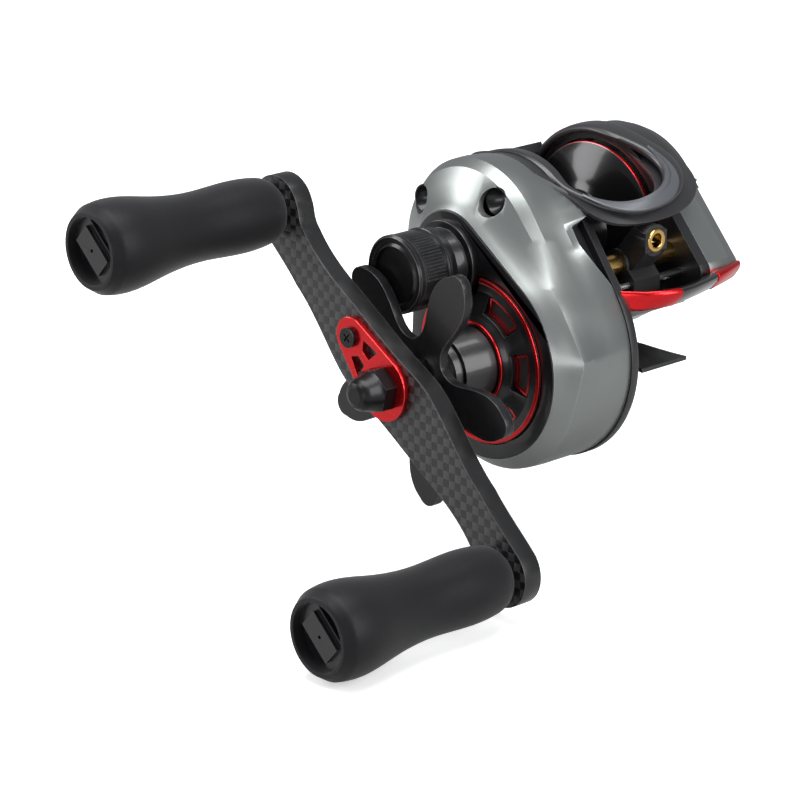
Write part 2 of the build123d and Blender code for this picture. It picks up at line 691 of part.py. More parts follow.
SPRING_END = BOSS_FRONT - 0.6
with BuildPart() as spring_washers:
    add(turned(DRIVE, band(SPRING_END - 0.9, SPRING_END, 5.2, SHAFT_R)).part)
    add(turned(DRIVE, band(STAR_BACK + 0.1, SPRING_END - 1.0, 5.6, SHAFT_R)).part)
save(spring_washers, "spring_washers")

# --- star drag ----------------------------------------------------------------------------------
STAR_TURN = 62.5
STAR_HUB_R = 8.6
STAR_NUT_AF = 9.0
with BuildSketch() as star_arm:
    with BuildLine():
        right = ((6.6, 5.6), (10.5, 3.4), (15.5, 4.3), (21.5, 4.9), (26.4, 2.6))
        Spline(*right)
        ThreePointArc((26.4, 2.6), (STAR_R, 0), (26.4, -2.6))
        Spline(*[(x, -y) for x, y in reversed(right)])
        Line((6.6, -5.6), (6.6, 5.6))
    make_face()
star_plane = Plane(origin=(DRIVE[0], STAR_BACK, DRIVE[1]), x_dir=(1, 0, 0), z_dir=(0, -1, 0))
with BuildPart() as star_drag:
    with BuildSketch(star_plane):
        Circle(STAR_HUB_R)
        with PolarLocations(0, 5, start_angle=STAR_TURN):
            add(star_arm.sketch)
        RegularPolygon(STAR_NUT_AF / 2 + 0.02, 6, major_radius=False, mode=Mode.SUBTRACT)
    extrude(amount=STAR_THICK)
save(star_drag, "star_drag")

with BuildPart() as star_nut:
    with BuildSketch(star_plane):
        RegularPolygon(STAR_NUT_AF / 2, 6, major_radius=False)
        Circle(SHAFT_R + RUN, mode=Mode.SUBTRACT)
    extrude(amount=STAR_THICK + 1.2)
save(star_nut, "star_nut")

handle_spacer = turned(DRIVE, band(ARM_BACK, STAR_FRONT - 1.2 - GAP, 4.6, SHAFT_R))
save(handle_spacer, "handle_spacer")

# --- handle arm ---------------------------------------------------------------------------------
ARM_TIP_R = 7.2
ARM_BOSS = 8.6
ARM_SIDE = (
    (-38.5, 3.6), (-33.0, 3.0), (-18.0, 4.9), (0.0, ARM_BOSS - 0.4),
    (7.0, 9.7), (16.0, 9.1), (32.0, 7.4),
)
KNOB_CENTRES = [(DRIVE[0] + s * DOWN_ARM[0], DRIVE[1] + s * DOWN_ARM[2]) for s in (-HALF_ARM, HALF_ARM)]


SPINDLE_R = 2.0
RETAINER_REACH = 13.4
RETAINER_SCREW_R = 1.1
with BuildPart() as handle_arm:
    with BuildSketch(arm_plane(ARM_BACK)):
        with BuildLine():
            for side in (1, -1):
                edge = [(side * s, side * w) for s, w in ARM_SIDE]
                tip = (side * HALF_ARM, side * ARM_TIP_R)
                Spline(*edge)
                Spline(edge[-1], tip, tangents=[(side, -side * 0.12), (side, 0)])
                ThreePointArc(
                    tip,
                    (side * (HALF_ARM + ARM_TIP_R), 0),
                    (side * (HALF_ARM - 3.0), -side * (ARM_TIP_R - 0.75))
                )
                Spline(
                    (side * (HALF_ARM - 3.0), -side * (ARM_TIP_R - 0.75)), (side * 38.5, -side * 3.6),
                    tangents=[(-side, side * 0.3), (-side, side * 0.05)],
                )
        make_face()
        with Locations((-HALF_ARM, 0), (HALF_ARM, 0)):
            Circle(SPINDLE_R, mode=Mode.SUBTRACT)
    extrude(amount=ARM_THICK)
    with BuildSketch(arm_plane(ARM_BACK)):
        Circle(SHAFT_R)
        Rectangle(4 * SHAFT_R, 2 * FLAT_HALF, mode=Mode.INTERSECT)
    extrude(amount=ARM_THICK, mode=Mode.SUBTRACT)
    with BuildSketch(arm_plane(ARM_FRONT + 3)):
        with Locations((-RETAINER_REACH, 0)):
            Circle(RETAINER_SCREW_R)
    extrude(amount=3, mode=Mode.SUBTRACT)
save(handle_arm, "handle_arm")

# --- nut and its retainer -----------------------------------------------------------------------
NUT_AF = 8.8
RETAINER_THICK = 1.3
with BuildPart() as nut_retainer:
    with BuildSketch(arm_plane(ARM_FRONT)):
        hull(((0, 0), 7.2), ((-RETAINER_REACH, 0), 4.4))
        RegularPolygon(NUT_AF / 2, 6, major_radius=False, mode=Mode.SUBTRACT)
        with Locations((-RETAINER_REACH, 0)):
            Circle(RETAINER_SCREW_R, mode=Mode.SUBTRACT)
        for side in (1, -1):
            with BuildLine():
                Polyline(
                    (-10.4, side * 3.0), (-6.0, side * 4.6), (-6.6, side * 1.0),
                    (-9.0, side * 0.9), close=True,
                )
            make_face(mode=Mode.SUBTRACT)
    extrude(amount=RETAINER_THICK)
save(nut_retainer, "nut_retainer")

NUT_SHOULDER = ARM_FRONT - 4.4
NUT_TIP = ARM_FRONT - 9.0
with BuildPart() as handle_nut:
    with BuildSketch(arm_plane(ARM_FRONT)):
        RegularPolygon(NUT_AF / 2, 6, major_radius=False)
    extrude(amount=ARM_FRONT - NUT_SHOULDER)
    add(turned(DRIVE, [
        (NUT_SHOULDER, 0), (NUT_SHOULDER, NUT_AF / 2), (NUT_TIP + 1.2, 3.4),
        (NUT_TIP + 0.3, 2.7), (NUT_TIP, 1.8),
        (NUT_TIP, 0),
    ]).part)
    add(turned(DRIVE, band(STUB_END - 0.3, ARM_FRONT, STUB_R)).part, mode=Mode.SUBTRACT)
save(handle_nut, "handle_nut")

RETAINER_HEAD_R = 2.2
with BuildPart() as retainer_screw:
    for start, amount, radius in (
        (ARM_FRONT - RETAINER_THICK, 1.0, RETAINER_HEAD_R),
        (ARM_FRONT + 2.8, 2.8 + RETAINER_THICK, RETAINER_SCREW_R),
    ):
        with BuildSketch(arm_plane(start)):
            with Locations((-RETAINER_REACH, 0)):
                Circle(radius)
        extrude(amount=amount)
    with BuildSketch(arm_plane(ARM_FRONT - RETAINER_THICK - 0.4)):
        with Locations((-RETAINER_REACH, 0)):
            Rectangle(2.6, 0.5)
            Rectangle(0.5, 2.6)
    extrude(amount=1, mode=Mode.SUBTRACT)
save(retainer_screw, "retainer_screw")

# --- knobs --------------------------------------------------------------------------------------
KNOB_NEAR = ARM_FRONT - 1.2
KNOB_FAR = KNOB_NEAR - KNOB_LENGTH
SPINDLE_END = KNOB_FAR + 8.0
BEARING_R = 3.6
BEARING_WIDE = 2.0
BEARING_IN = KNOB_NEAR - 0.8
BEARING_OUT = SPINDLE_END + 2.6
CAP_SEAT = KNOB_FAR + 4.2
CAP_R = 7.15


def both_knobs(*outlines):
    """The same turned outlines at both knob centres, as one group of solids."""
    with BuildPart() as group:
        for centre in KNOB_CENTRES:
            add(turned(centre, *outlines).part)
    return group


knob_spindles = both_knobs([
    (ARM_BACK, 0), (ARM_BACK, SPINDLE_R), (ARM_FRONT, SPINDLE_R), (ARM_FRONT, 3.3),
    (ARM_FRONT - 0.8, 3.3),
    (ARM_FRONT - 0.8, SPINDLE_R), (SPINDLE_END, SPINDLE_R), (SPINDLE_END, KNOB_SCREW_R),
    (SPINDLE_END + 6, KNOB_SCREW_R), (SPINDLE_END + 6, 0),
])
save(knob_spindles, "knob_spindles")
knob_screws = both_knobs([
    (SPINDLE_END + 5.8, 0), (SPINDLE_END + 5.8, KNOB_SCREW_R), (SPINDLE_END, KNOB_SCREW_R),
    (SPINDLE_END, 2.6),
    (SPINDLE_END - 1.3, 2.6), (SPINDLE_END - 1.3, 0),
])
save(knob_screws, "knob_screws")
knob_bearings = both_knobs(
    band(BEARING_IN - BEARING_WIDE, BEARING_IN, BEARING_R, SPINDLE_R),
    band(BEARING_OUT - BEARING_WIDE, BEARING_OUT, BEARING_R, SPINDLE_R),
)
save(knob_bearings, "knob_bearings")

GRIP = ((0, 4.9), (1.3, 6.5), (5, 7.6), (10, 7.9), (21, 7.5), (33, 8.7), (41, KNOB_END_R), (46.6, 9.6))
for name, centre in zip(("upper", "lower"), KNOB_CENTRES):
    plane = Plane(origin=(centre[0], 0, centre[1]), x_dir=(0, 1, 0), z_dir=(1, 0, 0))
    with BuildPart() as knob_grip:
        with BuildSketch(plane):
            with BuildLine():
                Spline(*[(KNOB_NEAR - s, r) for s, r in GRIP])
                Polyline(
                    (KNOB_NEAR - GRIP[-1][0], GRIP[-1][1]), (KNOB_FAR, 8.2),
                    (KNOB_FAR, CAP_R), (CAP_SEAT, CAP_R),
                    (CAP_SEAT, 4.4), (BEARING_OUT - BEARING_WIDE, 4.4),
                    (BEARING_OUT - BEARING_WIDE, BEARING_R + RUN),
                    (BEARING_OUT, BEARING_R + RUN), (BEARING_OUT, 2.6),
                    (BEARING_IN - BEARING_WIDE, 2.6),
                    (BEARING_IN - BEARING_WIDE, BEARING_R + RUN),
                    (KNOB_NEAR, BEARING_R + RUN), (KNOB_NEAR, GRIP[0][1]),
                )
            make_face()
        revolve(axis=Axis((centre[0], 0, centre[1]), (0, 1, 0)))
    save(knob_grip, f"{name}_knob_grip")
    with BuildPart() as knob_cap:
        with BuildSketch(Plane(origin=(centre[0], CAP_SEAT, centre[1]), x_dir=DOWN_ARM, z_dir=(0, -1, 0))):
            Circle(CAP_R)
        extrude(amount=1.2)
        seat = Plane(origin=(centre[0], CAP_SEAT - 1.2, centre[1]), x_dir=DOWN_ARM, z_dir=(0, -1, 0))
        with BuildSketch(seat):
            Circle(CAP_R - 0.2)
            Rectangle(3 * CAP_R, 7.4, mode=Mode.INTERSECT)
        extrude(amount=1.4)
        step = Plane(origin=(centre[0], CAP_SEAT - 2.6, centre[1]), x_dir=DOWN_ARM, z_dir=(0, -1, 0))
        with BuildSketch(step):
            Rectangle(9.4, 5.0)
            Circle(0.45, mode=Mode.SUBTRACT)
        extrude(amount=0.9)
    save(knob_cap, f"{name}_knob_cap")

# --- spool --------------------------------------------------------------------------------------
FLANGE_THICK = 0.9
RIM_TRIM = 0.6
SPOOL_CONE = 7.2
SPOOL_WALL = 1.1
spool = turned(SPOOL, [
    (SPOOL_HALF - FLANGE_THICK, SPOOL_R), (SPOOL_CONE, HUB_R), (-SPOOL_CONE, HUB_R),
    (FLANGE_THICK - SPOOL_HALF, SPOOL_R),
    (FLANGE_THICK - SPOOL_HALF, SPOOL_R - RIM_TRIM), (-SPOOL_HALF, SPOOL_R - RIM_TRIM),
    (-SPOOL_HALF, SPOOL_R - 1.2),
    (-SPOOL_CONE - 1.2, HUB_R - SPOOL_WALL), (-1.5, HUB_R - SPOOL_WALL), (-1.5, SPOOL_SHAFT_R),
    (1.5, SPOOL_SHAFT_R), (1.5, HUB_R - SPOOL_WALL), (SPOOL_CONE + 1.2, HUB_R - SPOOL_WALL),
    (SPOOL_HALF, SPOOL_R - 1.2), (SPOOL_HALF, SPOOL_R - RIM_TRIM),
    (SPOOL_HALF - FLANGE_THICK, SPOOL_R - RIM_TRIM),
])
save(spool, "spool")
spool_trim_rings = turned(
    SPOOL,
    band(-SPOOL_HALF, FLANGE_THICK - SPOOL_HALF, SPOOL_R, SPOOL_R - RIM_TRIM),
    band(SPOOL_HALF - FLANGE_THICK, SPOOL_HALF, SPOOL_R, SPOOL_R - RIM_TRIM),
)
save(spool_trim_rings, "spool_trim_rings")

SHAFT_TIP = -44.6
PALM_TIP = 20.5
PIN_Y = -13.7
PIN_R = 0.45
PIN_HALF = 2.9
PINION_END = -13.0
with BuildPart() as spool_shaft:
    add(turned(SPOOL, band(SHAFT_TIP, PALM_TIP, SPOOL_SHAFT_R)).part)
    with Locations((SPOOL[0], PIN_Y, SPOOL[1])):
        Cylinder(PIN_R, 2 * PIN_HALF)
save(spool_shaft, "spool_shaft")

ROTOR_R = 7.0
brake_rotor = turned(SPOOL, [
    (1.5, SPOOL_SHAFT_R), (1.5, ROTOR_R), (14.2, ROTOR_R), (14.2, ROTOR_R - 0.7), (2.3, ROTOR_R - 0.7),
    (2.3, SPOOL_SHAFT_R),
])
save(brake_rotor, "brake_rotor")

# --- pinion and clutch --------------------------------------------------------------------------
PINION_SLEEVE_R = 3.2
PINION_NECK_R = 2.3
PINION_BORE_R = SPOOL_SHAFT_R + 0.12
NECK_PLAY = 0.15
TEETH_FAR = YOKE_NEAR - NECK_PLAY - 0.42
TEETH_NEAR = -24.9
PINION_TIP_R = PINION_PITCH_R + TOOTH_HEAD * MODULE
PINION_ROOT_R = PINION_PITCH_R - TOOTH_FOOT * MODULE
with BuildPart() as pinion_gear:
    add(turned(SPOOL, [
        (PINION_END, PINION_BORE_R), (PINION_END, PINION_SLEEVE_R),
        (YOKE_FAR + NECK_PLAY, PINION_SLEEVE_R),
        (YOKE_FAR + NECK_PLAY, PINION_NECK_R), (YOKE_NEAR - NECK_PLAY, PINION_NECK_R),
        (YOKE_NEAR - NECK_PLAY, PINION_SLEEVE_R), (TEETH_FAR, PINION_SLEEVE_R),
        (TEETH_FAR, PINION_BORE_R),
    ]).part)
    with BuildSketch(Plane(origin=(SPOOL[0], TEETH_FAR, SPOOL[1]), x_dir=(1, 0, 0), z_dir=(0, -1, 0))):
        toothed(PINION_ROOT_R, PINION_TIP_R, PINION_TEETH, turn=TO_SPOOL + 180 + 180 / PINION_TEETH)
        Circle(PINION_BORE_R, mode=Mode.SUBTRACT)
    extrude(amount=TEETH_FAR - TEETH_NEAR)
    with BuildSketch(across(PINION_END)):
        with Locations(SPOOL):
            Rectangle(2 * PIN_R + 0.4, 3 * PINION_SLEEVE_R)
    extrude(amount=PINION_END - PIN_Y + PIN_R + 0.5, mode=Mode.SUBTRACT)
save(pinion_gear, "pinion_gear")

YOKE_WIDE = 5.2
yoke_line = (cos(radians(YOKE_ANGLE)), 0, sin(radians(YOKE_ANGLE)))
with BuildPart() as pinion_yoke:
    with BuildSketch(Plane(origin=(SPOOL[0], YOKE_FAR, SPOOL[1]), x_dir=yoke_line, z_dir=(0, -1, 0))):
        SlotCenterToCenter(2 * YOKE_REACH, YOKE_WIDE)
        Circle(PINION_NECK_R + 0.1, mode=Mode.SUBTRACT)
        with Locations((0, YOKE_WIDE / 2)):
            Rectangle(2 * PINION_NECK_R + 0.2, YOKE_WIDE, mode=Mode.SUBTRACT)
        with Locations((-YOKE_REACH, 0), (YOKE_REACH, 0)):
            Circle(YOKE_POST_R + 0.1, mode=Mode.SUBTRACT)
    extrude(amount=YOKE_FAR - YOKE_NEAR)
save(pinion_yoke, "pinion_yoke")

SPRING_COIL_R = 1.6
SPRING_WIRE_R = 0.22
SPRING_NEAR = WALL_NEAR - 7.0
SPRING_FAR = YOKE_NEAR - YOKE_TRAVEL - 0.3
with BuildPart() as one_spring:
    with BuildLine() as coil:
        Helix(pitch=0.75, height=SPRING_FAR - SPRING_NEAR - 2 * SPRING_WIRE_R, radius=SPRING_COIL_R)
    with BuildSketch(Plane(origin=coil.line @ 0, z_dir=coil.line % 0)):
        Circle(SPRING_WIRE_R)
    sweep(is_frenet=True)
with BuildPart() as yoke_springs:
    for post in YOKE_POSTS:
        with Locations(Location((post[0], SPRING_NEAR + SPRING_WIRE_R, post[1]), (-90, 0, 0))):
            add(one_spring.part)
save(yoke_springs, "yoke_springs")

CAM_Y = (-16.4, -15.7)
CAM_LIFT = YOKE_FAR - YOKE_TRAVEL + 0.15
THUMB_NEAR = WALL_FAR + 0.4
THUMB_FAR = PALM_INNER - GAP
with BuildPart() as thumb_bar:
    # Bar across the back, with a lip that the thumb rests on.
    with BuildSketch(across(THUMB_FAR)):
        with BuildLine():
            Polyline(
                (-27.2, 29.6), (-25.0, 29.6), (-24.2, 34.8), (-21.6, 36.3), (-22.4, 38.4),
                (-27.0, 36.4), close=True,
            )
        make_face()
    extrude(amount=THUMB_FAR - THUMB_NEAR)
    # Leg and pin on the gear side, and the cam plate behind the wall.
    with BuildSketch(across(THUMB_NEAR + 1.1)):
        with BuildLine():
            Polyline(
                (-26.6, 31.0), (-24.9, 31.0), (-23.3, 26.5), (-23.3, 23.4), (-24.8, 23.4),
                (-26.6, 27.0), close=True,
            )
        make_face()
    extrude(amount=1.1)
    with BuildSketch(across(THUMB_NEAR + 0.5)):
        with Locations(THUMB_PIN):
            Circle(THUMB_PIN_R)
    extrude(amount=THUMB_NEAR + 0.5 - CAM_Y[0])
    with BuildSketch(across(CAM_Y[1])):
        with BuildLine():
            Polyline(
                (-24.45, 23.9), (-24.45, 25.2), (-17, 25.9), (-12.4, 25.9), (-12.4, 23.5),
                (-17, 22.9), close=True,
            )
        make_face()
    extrude(amount=CAM_Y[1] - CAM_Y[0])
    with BuildSketch(Plane(origin=(-14.7, 0, 0), x_dir=(0, 1, 0), z_dir=(1, 0, 0))):
        with BuildLine():
            Polyline(
                (CAM_Y[0], 22.9), (CAM_Y[0] - 0.75, 22.9), (CAM_LIFT, 24.5), (CAM_LIFT, 25.9),
                (CAM_Y[0], 25.9), close=True,
            )
        make_face()
    extrude(amount=1.5)
save(thumb_bar, "thumb_bar")

# --- tension knob -------------------------------------------------------------------------------
TENSION_FACE = -48.4
TENSION_NEAR = -37.9
STEM_END = -43.5
PAD_R = 1.9
tension_boss = turned(SPOOL, [
    (COVER_CREASE - 0.5, 2.2), (COVER_CREASE - 0.5, STEM_R), (COVER_RIM, STEM_R), (COVER_RIM, 9.2),
    (COVER_RIM - 1.7, 9.2), (COVER_RIM - 1.7, 7.5), (TENSION_NEAR + 0.2, 7.5),
    (TENSION_NEAR + 0.2, STEM_R),
    (STEM_END, STEM_R), (STEM_END, 2.0), (-34.0, 2.0), (-34.0, 4.3), (-31.0, 4.3), (-31.0, 2.2),
])
save(tension_boss, "tension_boss")
tension_knob = turned(SPOOL, [
    (TENSION_FACE + 0.5, 0), (TENSION_FACE + 0.5, 6.6), (TENSION_FACE, 7.0), (TENSION_FACE, 7.9),
    (TENSION_FACE + 0.7, TENSION_R), (TENSION_NEAR, TENSION_R), (TENSION_NEAR, STEM_R + RUN),
    (STEM_END - 0.9, STEM_R + RUN), (STEM_END - 0.9, PAD_R), (SHAFT_TIP - 0.1, PAD_R),
    (SHAFT_TIP - 0.1, 0),
])
save(tension_knob, "tension_knob")

# --- palm side ----------------------------------------------------------------------------------
PALM_SHOULDER = 22.0
PALM_FLARE = 22
PALM_WALL = 1.5
DIAL_R = 7.9
DIAL_FLOOR = PALM_FACE - 1.5
HUB_BOSS_R = 4.9
HUB_BOSS_END = 9.0
PALM_BEARING_R = 3.3
PALM_POST_R = 2.3
dome = (PALM_FACE - PALM_SHOULDER) * tan(radians(PALM_FLARE))
with BuildPart() as palm_side_plate:
    with BuildSketch(across(PALM_FACE)):
        palm_outline(-dome)
    with BuildSketch(across(PALM_SHOULDER)):
        palm_outline()
    loft(ruled=True)
    with BuildSketch(across(PALM_SHOULDER)):
        palm_outline()
    extrude(amount=PALM_SHOULDER - PALM_SEAM)
    with BuildSketch(across(DIAL_FLOOR - PALM_WALL)):
        palm_outline(-PALM_WALL - 0.9)
    extrude(amount=DIAL_FLOOR - PALM_WALL - PALM_SEAM, mode=Mode.SUBTRACT)
    with BuildSketch(across(DIAL_FLOOR - PALM_WALL)):
        with Locations(SPOOL):
            Circle(HUB_BOSS_R)
    extrude(amount=DIAL_FLOOR - PALM_WALL - HUB_BOSS_END)
    with BuildSketch(across(DIAL_FLOOR - PALM_WALL)):
        with Locations(*PALM_SCREWS):
            Circle(PALM_POST_R)
    extrude(amount=DIAL_FLOOR - PALM_WALL - PALM_SEAM)
    for centres, radius, start, depth in (
        ((SPOOL,), DIAL_R + 0.3, PALM_FACE, PALM_FACE - DIAL_FLOOR),
        ((SPOOL,), 1.55, PALM_FACE, 4.0),
        ((SPOOL,), 1.9, PALM_TIP + 0.5, 8.0),
        ((SPOOL,), PALM_BEARING_R, 16.0, 10.0),
        (PALM_SCREWS, 1.9, PALM_FACE, PALM_FACE - 21.0),
        (PALM_SCREWS, 0.9, PALM_FACE, 12.0),
    ):
        with BuildSketch(across(start)):
            with Locations(*centres):
                Circle(radius)
        extrude(amount=depth, mode=Mode.SUBTRACT)
save(palm_side_plate, "palm_side_plate")

spool_bearings = turned(
    SPOOL,
    band(WALL_NEAR + 0.1, WALL_NEAR + 2.2, 5.2, PINION_SLEEVE_R + RUN),
    band(-34.0, -31.8, 4.3, SPOOL_SHAFT_R + RUN),
    band(14.0, 16.0, PALM_BEARING_R, SPOOL_SHAFT_R + RUN),
)
save(spool_bearings, "spool_bearings")

with BuildPart() as palm_plate_screws:
    for start, amount, radius in ((22.0, 1.0, 1.7), (21.0, 21.0 - PALM_INNER - 0.8, 0.9)):
        with BuildSketch(across(start)):
            with Locations(*PALM_SCREWS):
                Circle(radius)
        extrude(amount=amount)
    with BuildSketch(across(PALM_FACE)):
        with Locations(*PALM_SCREWS):
            Rectangle(2.2, 0.5)
    extrude(amount=PALM_FACE - 21.6, mode=Mode.SUBTRACT)
save(palm_plate_screws, "palm_plate_screws")

with BuildPart() as brake_dial:
    add(turned(SPOOL, [
        (DIAL_FLOOR + 0.1, 0), (DIAL_FLOOR + 0.1, DIAL_R), (PALM_FACE + 0.3, DIAL_R),
        (PALM_FACE + 0.8, DIAL_R - 0.6),
        (PALM_FACE + 0.8, 0),
    ], band(DIAL_FLOOR - 1.8, DIAL_FLOOR + 0.1, 1.5)).part)
    with BuildSketch(across(PALM_FACE + 2)):
        with Locations(SPOOL):
            Rectangle(13.0, 9.0)
            Rectangle(13.0, 2.6, mode=Mode.SUBTRACT)
    extrude(amount=2 - 0.1 + 0.9, mode=Mode.SUBTRACT)
save(brake_dial, "brake_dial")

MAGNETS = 6
with BuildPart() as brake_magnets:
    for k in range(MAGNETS):
        with BuildSketch(across(HUB_BOSS_END + 4.2)):
            sector(SPOOL, HUB_BOSS_R, HUB_BOSS_R + 1.0, 60 * k - 17, 60 * k + 17)
        extrude(amount=4.0)
save(brake_magnets, "brake_magnets")

# --- level wind ---------------------------------------------------------------------------------
GUIDE_Y = 0.5
GUIDE_HALF = 4.0
GUIDE_TRAVEL = 7.0
PAWL_R = 1.0
PAWL_TOP = WORM[1] - WORM_R - 0.05
PAWL_LOW = WORM[1] - 5.0
CARRIER_R = 3.4
worm_shaft = turned(WORM, [
    (WIND_NEAR, 0), (WIND_NEAR, WORM_R), (PALM_INNER + 1.4, WORM_R), (PALM_INNER + 1.4, 0),
])
save(worm_shaft, "worm_shaft")

with BuildPart() as worm_tube:
    add(turned(WORM, band(WALL_NEAR, PALM_INNER + 1.6, TUBE_R, TUBE_BORE_R)).part)
    add(turned(WORM, band(PALM_INNER + 1.4, PALM_INNER + 1.6, TUBE_BORE_R)).part)
    with BuildSketch(Plane.XY.offset(WORM[1] - TUBE_R - 1)):
        with Locations((WORM[0], GUIDE_Y)):
            Rectangle(1.9, 2 * GUIDE_TRAVEL + 2 * PAWL_R + 2.0)
    extrude(amount=TUBE_R + 0.6, mode=Mode.SUBTRACT)
save(worm_tube, "worm_tube")

guide_rod = turned(GUIDE_ROD, band(WALL_FAR - 2.6, PALM_INNER + 1.4, 0.9))
save(guide_rod, "guide_rod")

with BuildPart() as line_guide:
    # Carriage on the worm's tube, with a block down to the guide rod and the pawl.
    with BuildSketch(across(GUIDE_Y + GUIDE_HALF)):
        with Locations(WORM):
            Circle(CARRIER_R)
        with BuildLine():
            Polyline(
                (WORM[0] - 2.4, WORM[1] - 2.0), (WORM[0] - 2.4, WORM[1] - 5.8),
                (GUIDE_ROD[0] + 1.9, GUIDE_ROD[1] - 1.9),
                (GUIDE_ROD[0] + 1.9, GUIDE_ROD[1] + 1.4), (WORM[0] + 3.0, WORM[1]), close=True,
            )
        make_face()
    extrude(amount=2 * GUIDE_HALF)
    with BuildSketch(across(GUIDE_Y + 3.3)):
        with BuildLine():
            Polyline(
                (WORM[0] - 0.6, WORM[1] + 3.2), (RING_EYE[0] - 4.2, RING_EYE[1] + 2.6),
                (RING_EYE[0], RING_EYE[1] + 2.0),
                (RING_EYE[0], RING_EYE[1] - 2.4), (WORM[0] + 3.2, WORM[1] - 1.6), close=True,
            )
        make_face()
    extrude(amount=6.6)
    eye_plane = Plane(origin=(RING_EYE[0] - 4.4, GUIDE_Y, RING_EYE[1]), x_dir=(0, 1, 0), z_dir=(1, 0, 0))
    with BuildSketch(eye_plane):
        Circle(EYE_R + 0.9)
    extrude(amount=4.2)
    with BuildSketch(Plane(origin=(WORM[0] - 8, GUIDE_Y, RING_EYE[1]), x_dir=(0, 1, 0), z_dir=(1, 0, 0))):
        Circle(EYE_R)
    extrude(amount=30, mode=Mode.SUBTRACT)
    for centre, radius in ((WORM, TUBE_R + RUN), (GUIDE_ROD, 0.9 + RUN)):
        with BuildSketch(across(GUIDE_Y + 10)):
            with Locations(centre):
                Circle(radius)
        extrude(amount=20, mode=Mode.SUBTRACT)
    # Socket for the pawl, closed by its cap.
    for low, high, radius, mode in (
        (PAWL_LOW - 1.6, PAWL_LOW + 0.6, 2.0, Mode.ADD),
        (PAWL_LOW - 0.05, WORM[1], PAWL_R + RUN, Mode.SUBTRACT),
    ):
        with BuildSketch(Plane.XY.offset(low)):
            with Locations((WORM[0], GUIDE_Y)):
                Circle(radius)
        extrude(amount=high - low, mode=mode)
save(line_guide, "line_guide")

eye_plane = Plane(origin=(RING_EYE[0] - 4.4, GUIDE_Y, RING_EYE[1]), x_dir=(0, 1, 0), z_dir=(1, 0, 0))
with BuildPart() as guide_insert:
    with BuildSketch(eye_plane):
        Circle(EYE_R)
        Circle(EYE_HOLE_R, mode=Mode.SUBTRACT)
    extrude(amount=4.7)
    fillet(guide_insert.edges().filter_by(GeomType.CIRCLE), 0.3)
save(guide_insert, "guide_insert")

with BuildPart() as guide_pawl:
    with BuildSketch(Plane.XY.offset(PAWL_LOW)):
        with Locations((WORM[0], GUIDE_Y)):
            Circle(PAWL_R)
    extrude(amount=WORM[1] - TUBE_R - 0.3 - PAWL_LOW)
    with BuildSketch(Plane.XY.offset(WORM[1] - TUBE_R - 0.3)):
        with Locations((WORM[0], GUIDE_Y)):
            Rectangle(1.5, 0.5)
    extrude(amount=PAWL_TOP - WORM[1] + TUBE_R + 0.3 - 0.05)
save(guide_pawl, "guide_pawl")
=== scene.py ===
import json
import math

import bmesh
import bpy
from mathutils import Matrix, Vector


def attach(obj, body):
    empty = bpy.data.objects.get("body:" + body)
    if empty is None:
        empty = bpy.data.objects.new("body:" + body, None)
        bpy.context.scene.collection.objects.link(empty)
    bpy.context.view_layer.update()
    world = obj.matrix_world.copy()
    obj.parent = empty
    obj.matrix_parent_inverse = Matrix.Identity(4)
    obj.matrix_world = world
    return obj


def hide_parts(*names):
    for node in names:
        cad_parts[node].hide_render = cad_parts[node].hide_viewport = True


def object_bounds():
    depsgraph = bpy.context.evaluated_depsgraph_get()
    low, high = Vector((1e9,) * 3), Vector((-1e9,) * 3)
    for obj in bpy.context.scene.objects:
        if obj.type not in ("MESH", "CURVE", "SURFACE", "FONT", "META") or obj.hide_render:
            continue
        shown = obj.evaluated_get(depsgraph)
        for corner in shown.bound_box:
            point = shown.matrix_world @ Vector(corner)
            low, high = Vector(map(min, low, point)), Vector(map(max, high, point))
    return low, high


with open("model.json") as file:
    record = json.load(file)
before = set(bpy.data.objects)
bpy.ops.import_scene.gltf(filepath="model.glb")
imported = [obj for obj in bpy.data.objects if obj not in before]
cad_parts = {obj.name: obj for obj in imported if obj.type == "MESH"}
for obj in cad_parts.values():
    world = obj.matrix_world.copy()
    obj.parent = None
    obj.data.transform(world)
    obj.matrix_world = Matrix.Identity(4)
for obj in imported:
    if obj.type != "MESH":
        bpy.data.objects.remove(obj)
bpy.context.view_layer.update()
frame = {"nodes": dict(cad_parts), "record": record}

MM = 0.001

# Axes across the reel, as (x, z) in millimetres.
DRIVE = (5.5, 3.0)
SPOOL = (-4.7, 23.0)
DISH_R = 18.75
RECESSES = ((4.0, 37.0), (-18.5, 33.0))
RECESS_R = 3.05


# --- effects shared by the finishes ---------------------------------------------------------------

def link(tree, out, into):
    tree.links.new(out, into)


def node(tree, kind, **settings):
    made = tree.nodes.new(kind)
    for name, value in settings.items():
        setattr(made, name, value)
    return made


def maths(tree, operation, a, b=None, clamp=False):
    made = node(tree, "ShaderNodeMath", operation=operation, use_clamp=clamp)
    for socket, value in zip(made.inputs, (a, b)):
        if value is None:
            continue
        if isinstance(value, (int, float)):
            socket.default_value = value
        else:
            link(tree, value, socket)
    return made.outputs[0]


def effect(name, inputs, outputs):
    """A named node group with its sockets; returns the tree and its ends."""
    tree = bpy.data.node_groups.new(name, "ShaderNodeTree")
    for label, kind, value in inputs:
        socket = tree.interface.new_socket(label, in_out="INPUT", socket_type=kind)
        if value is not None:
            socket.default_value = value
    for label, kind in outputs:
        tree.interface.new_socket(label, in_out="OUTPUT", socket_type=kind)
    return tree, node(tree, "NodeGroupInput"), node(tree, "NodeGroupOutput")


FLOAT, VECTOR = "NodeSocketFloat", "NodeSocketVector"


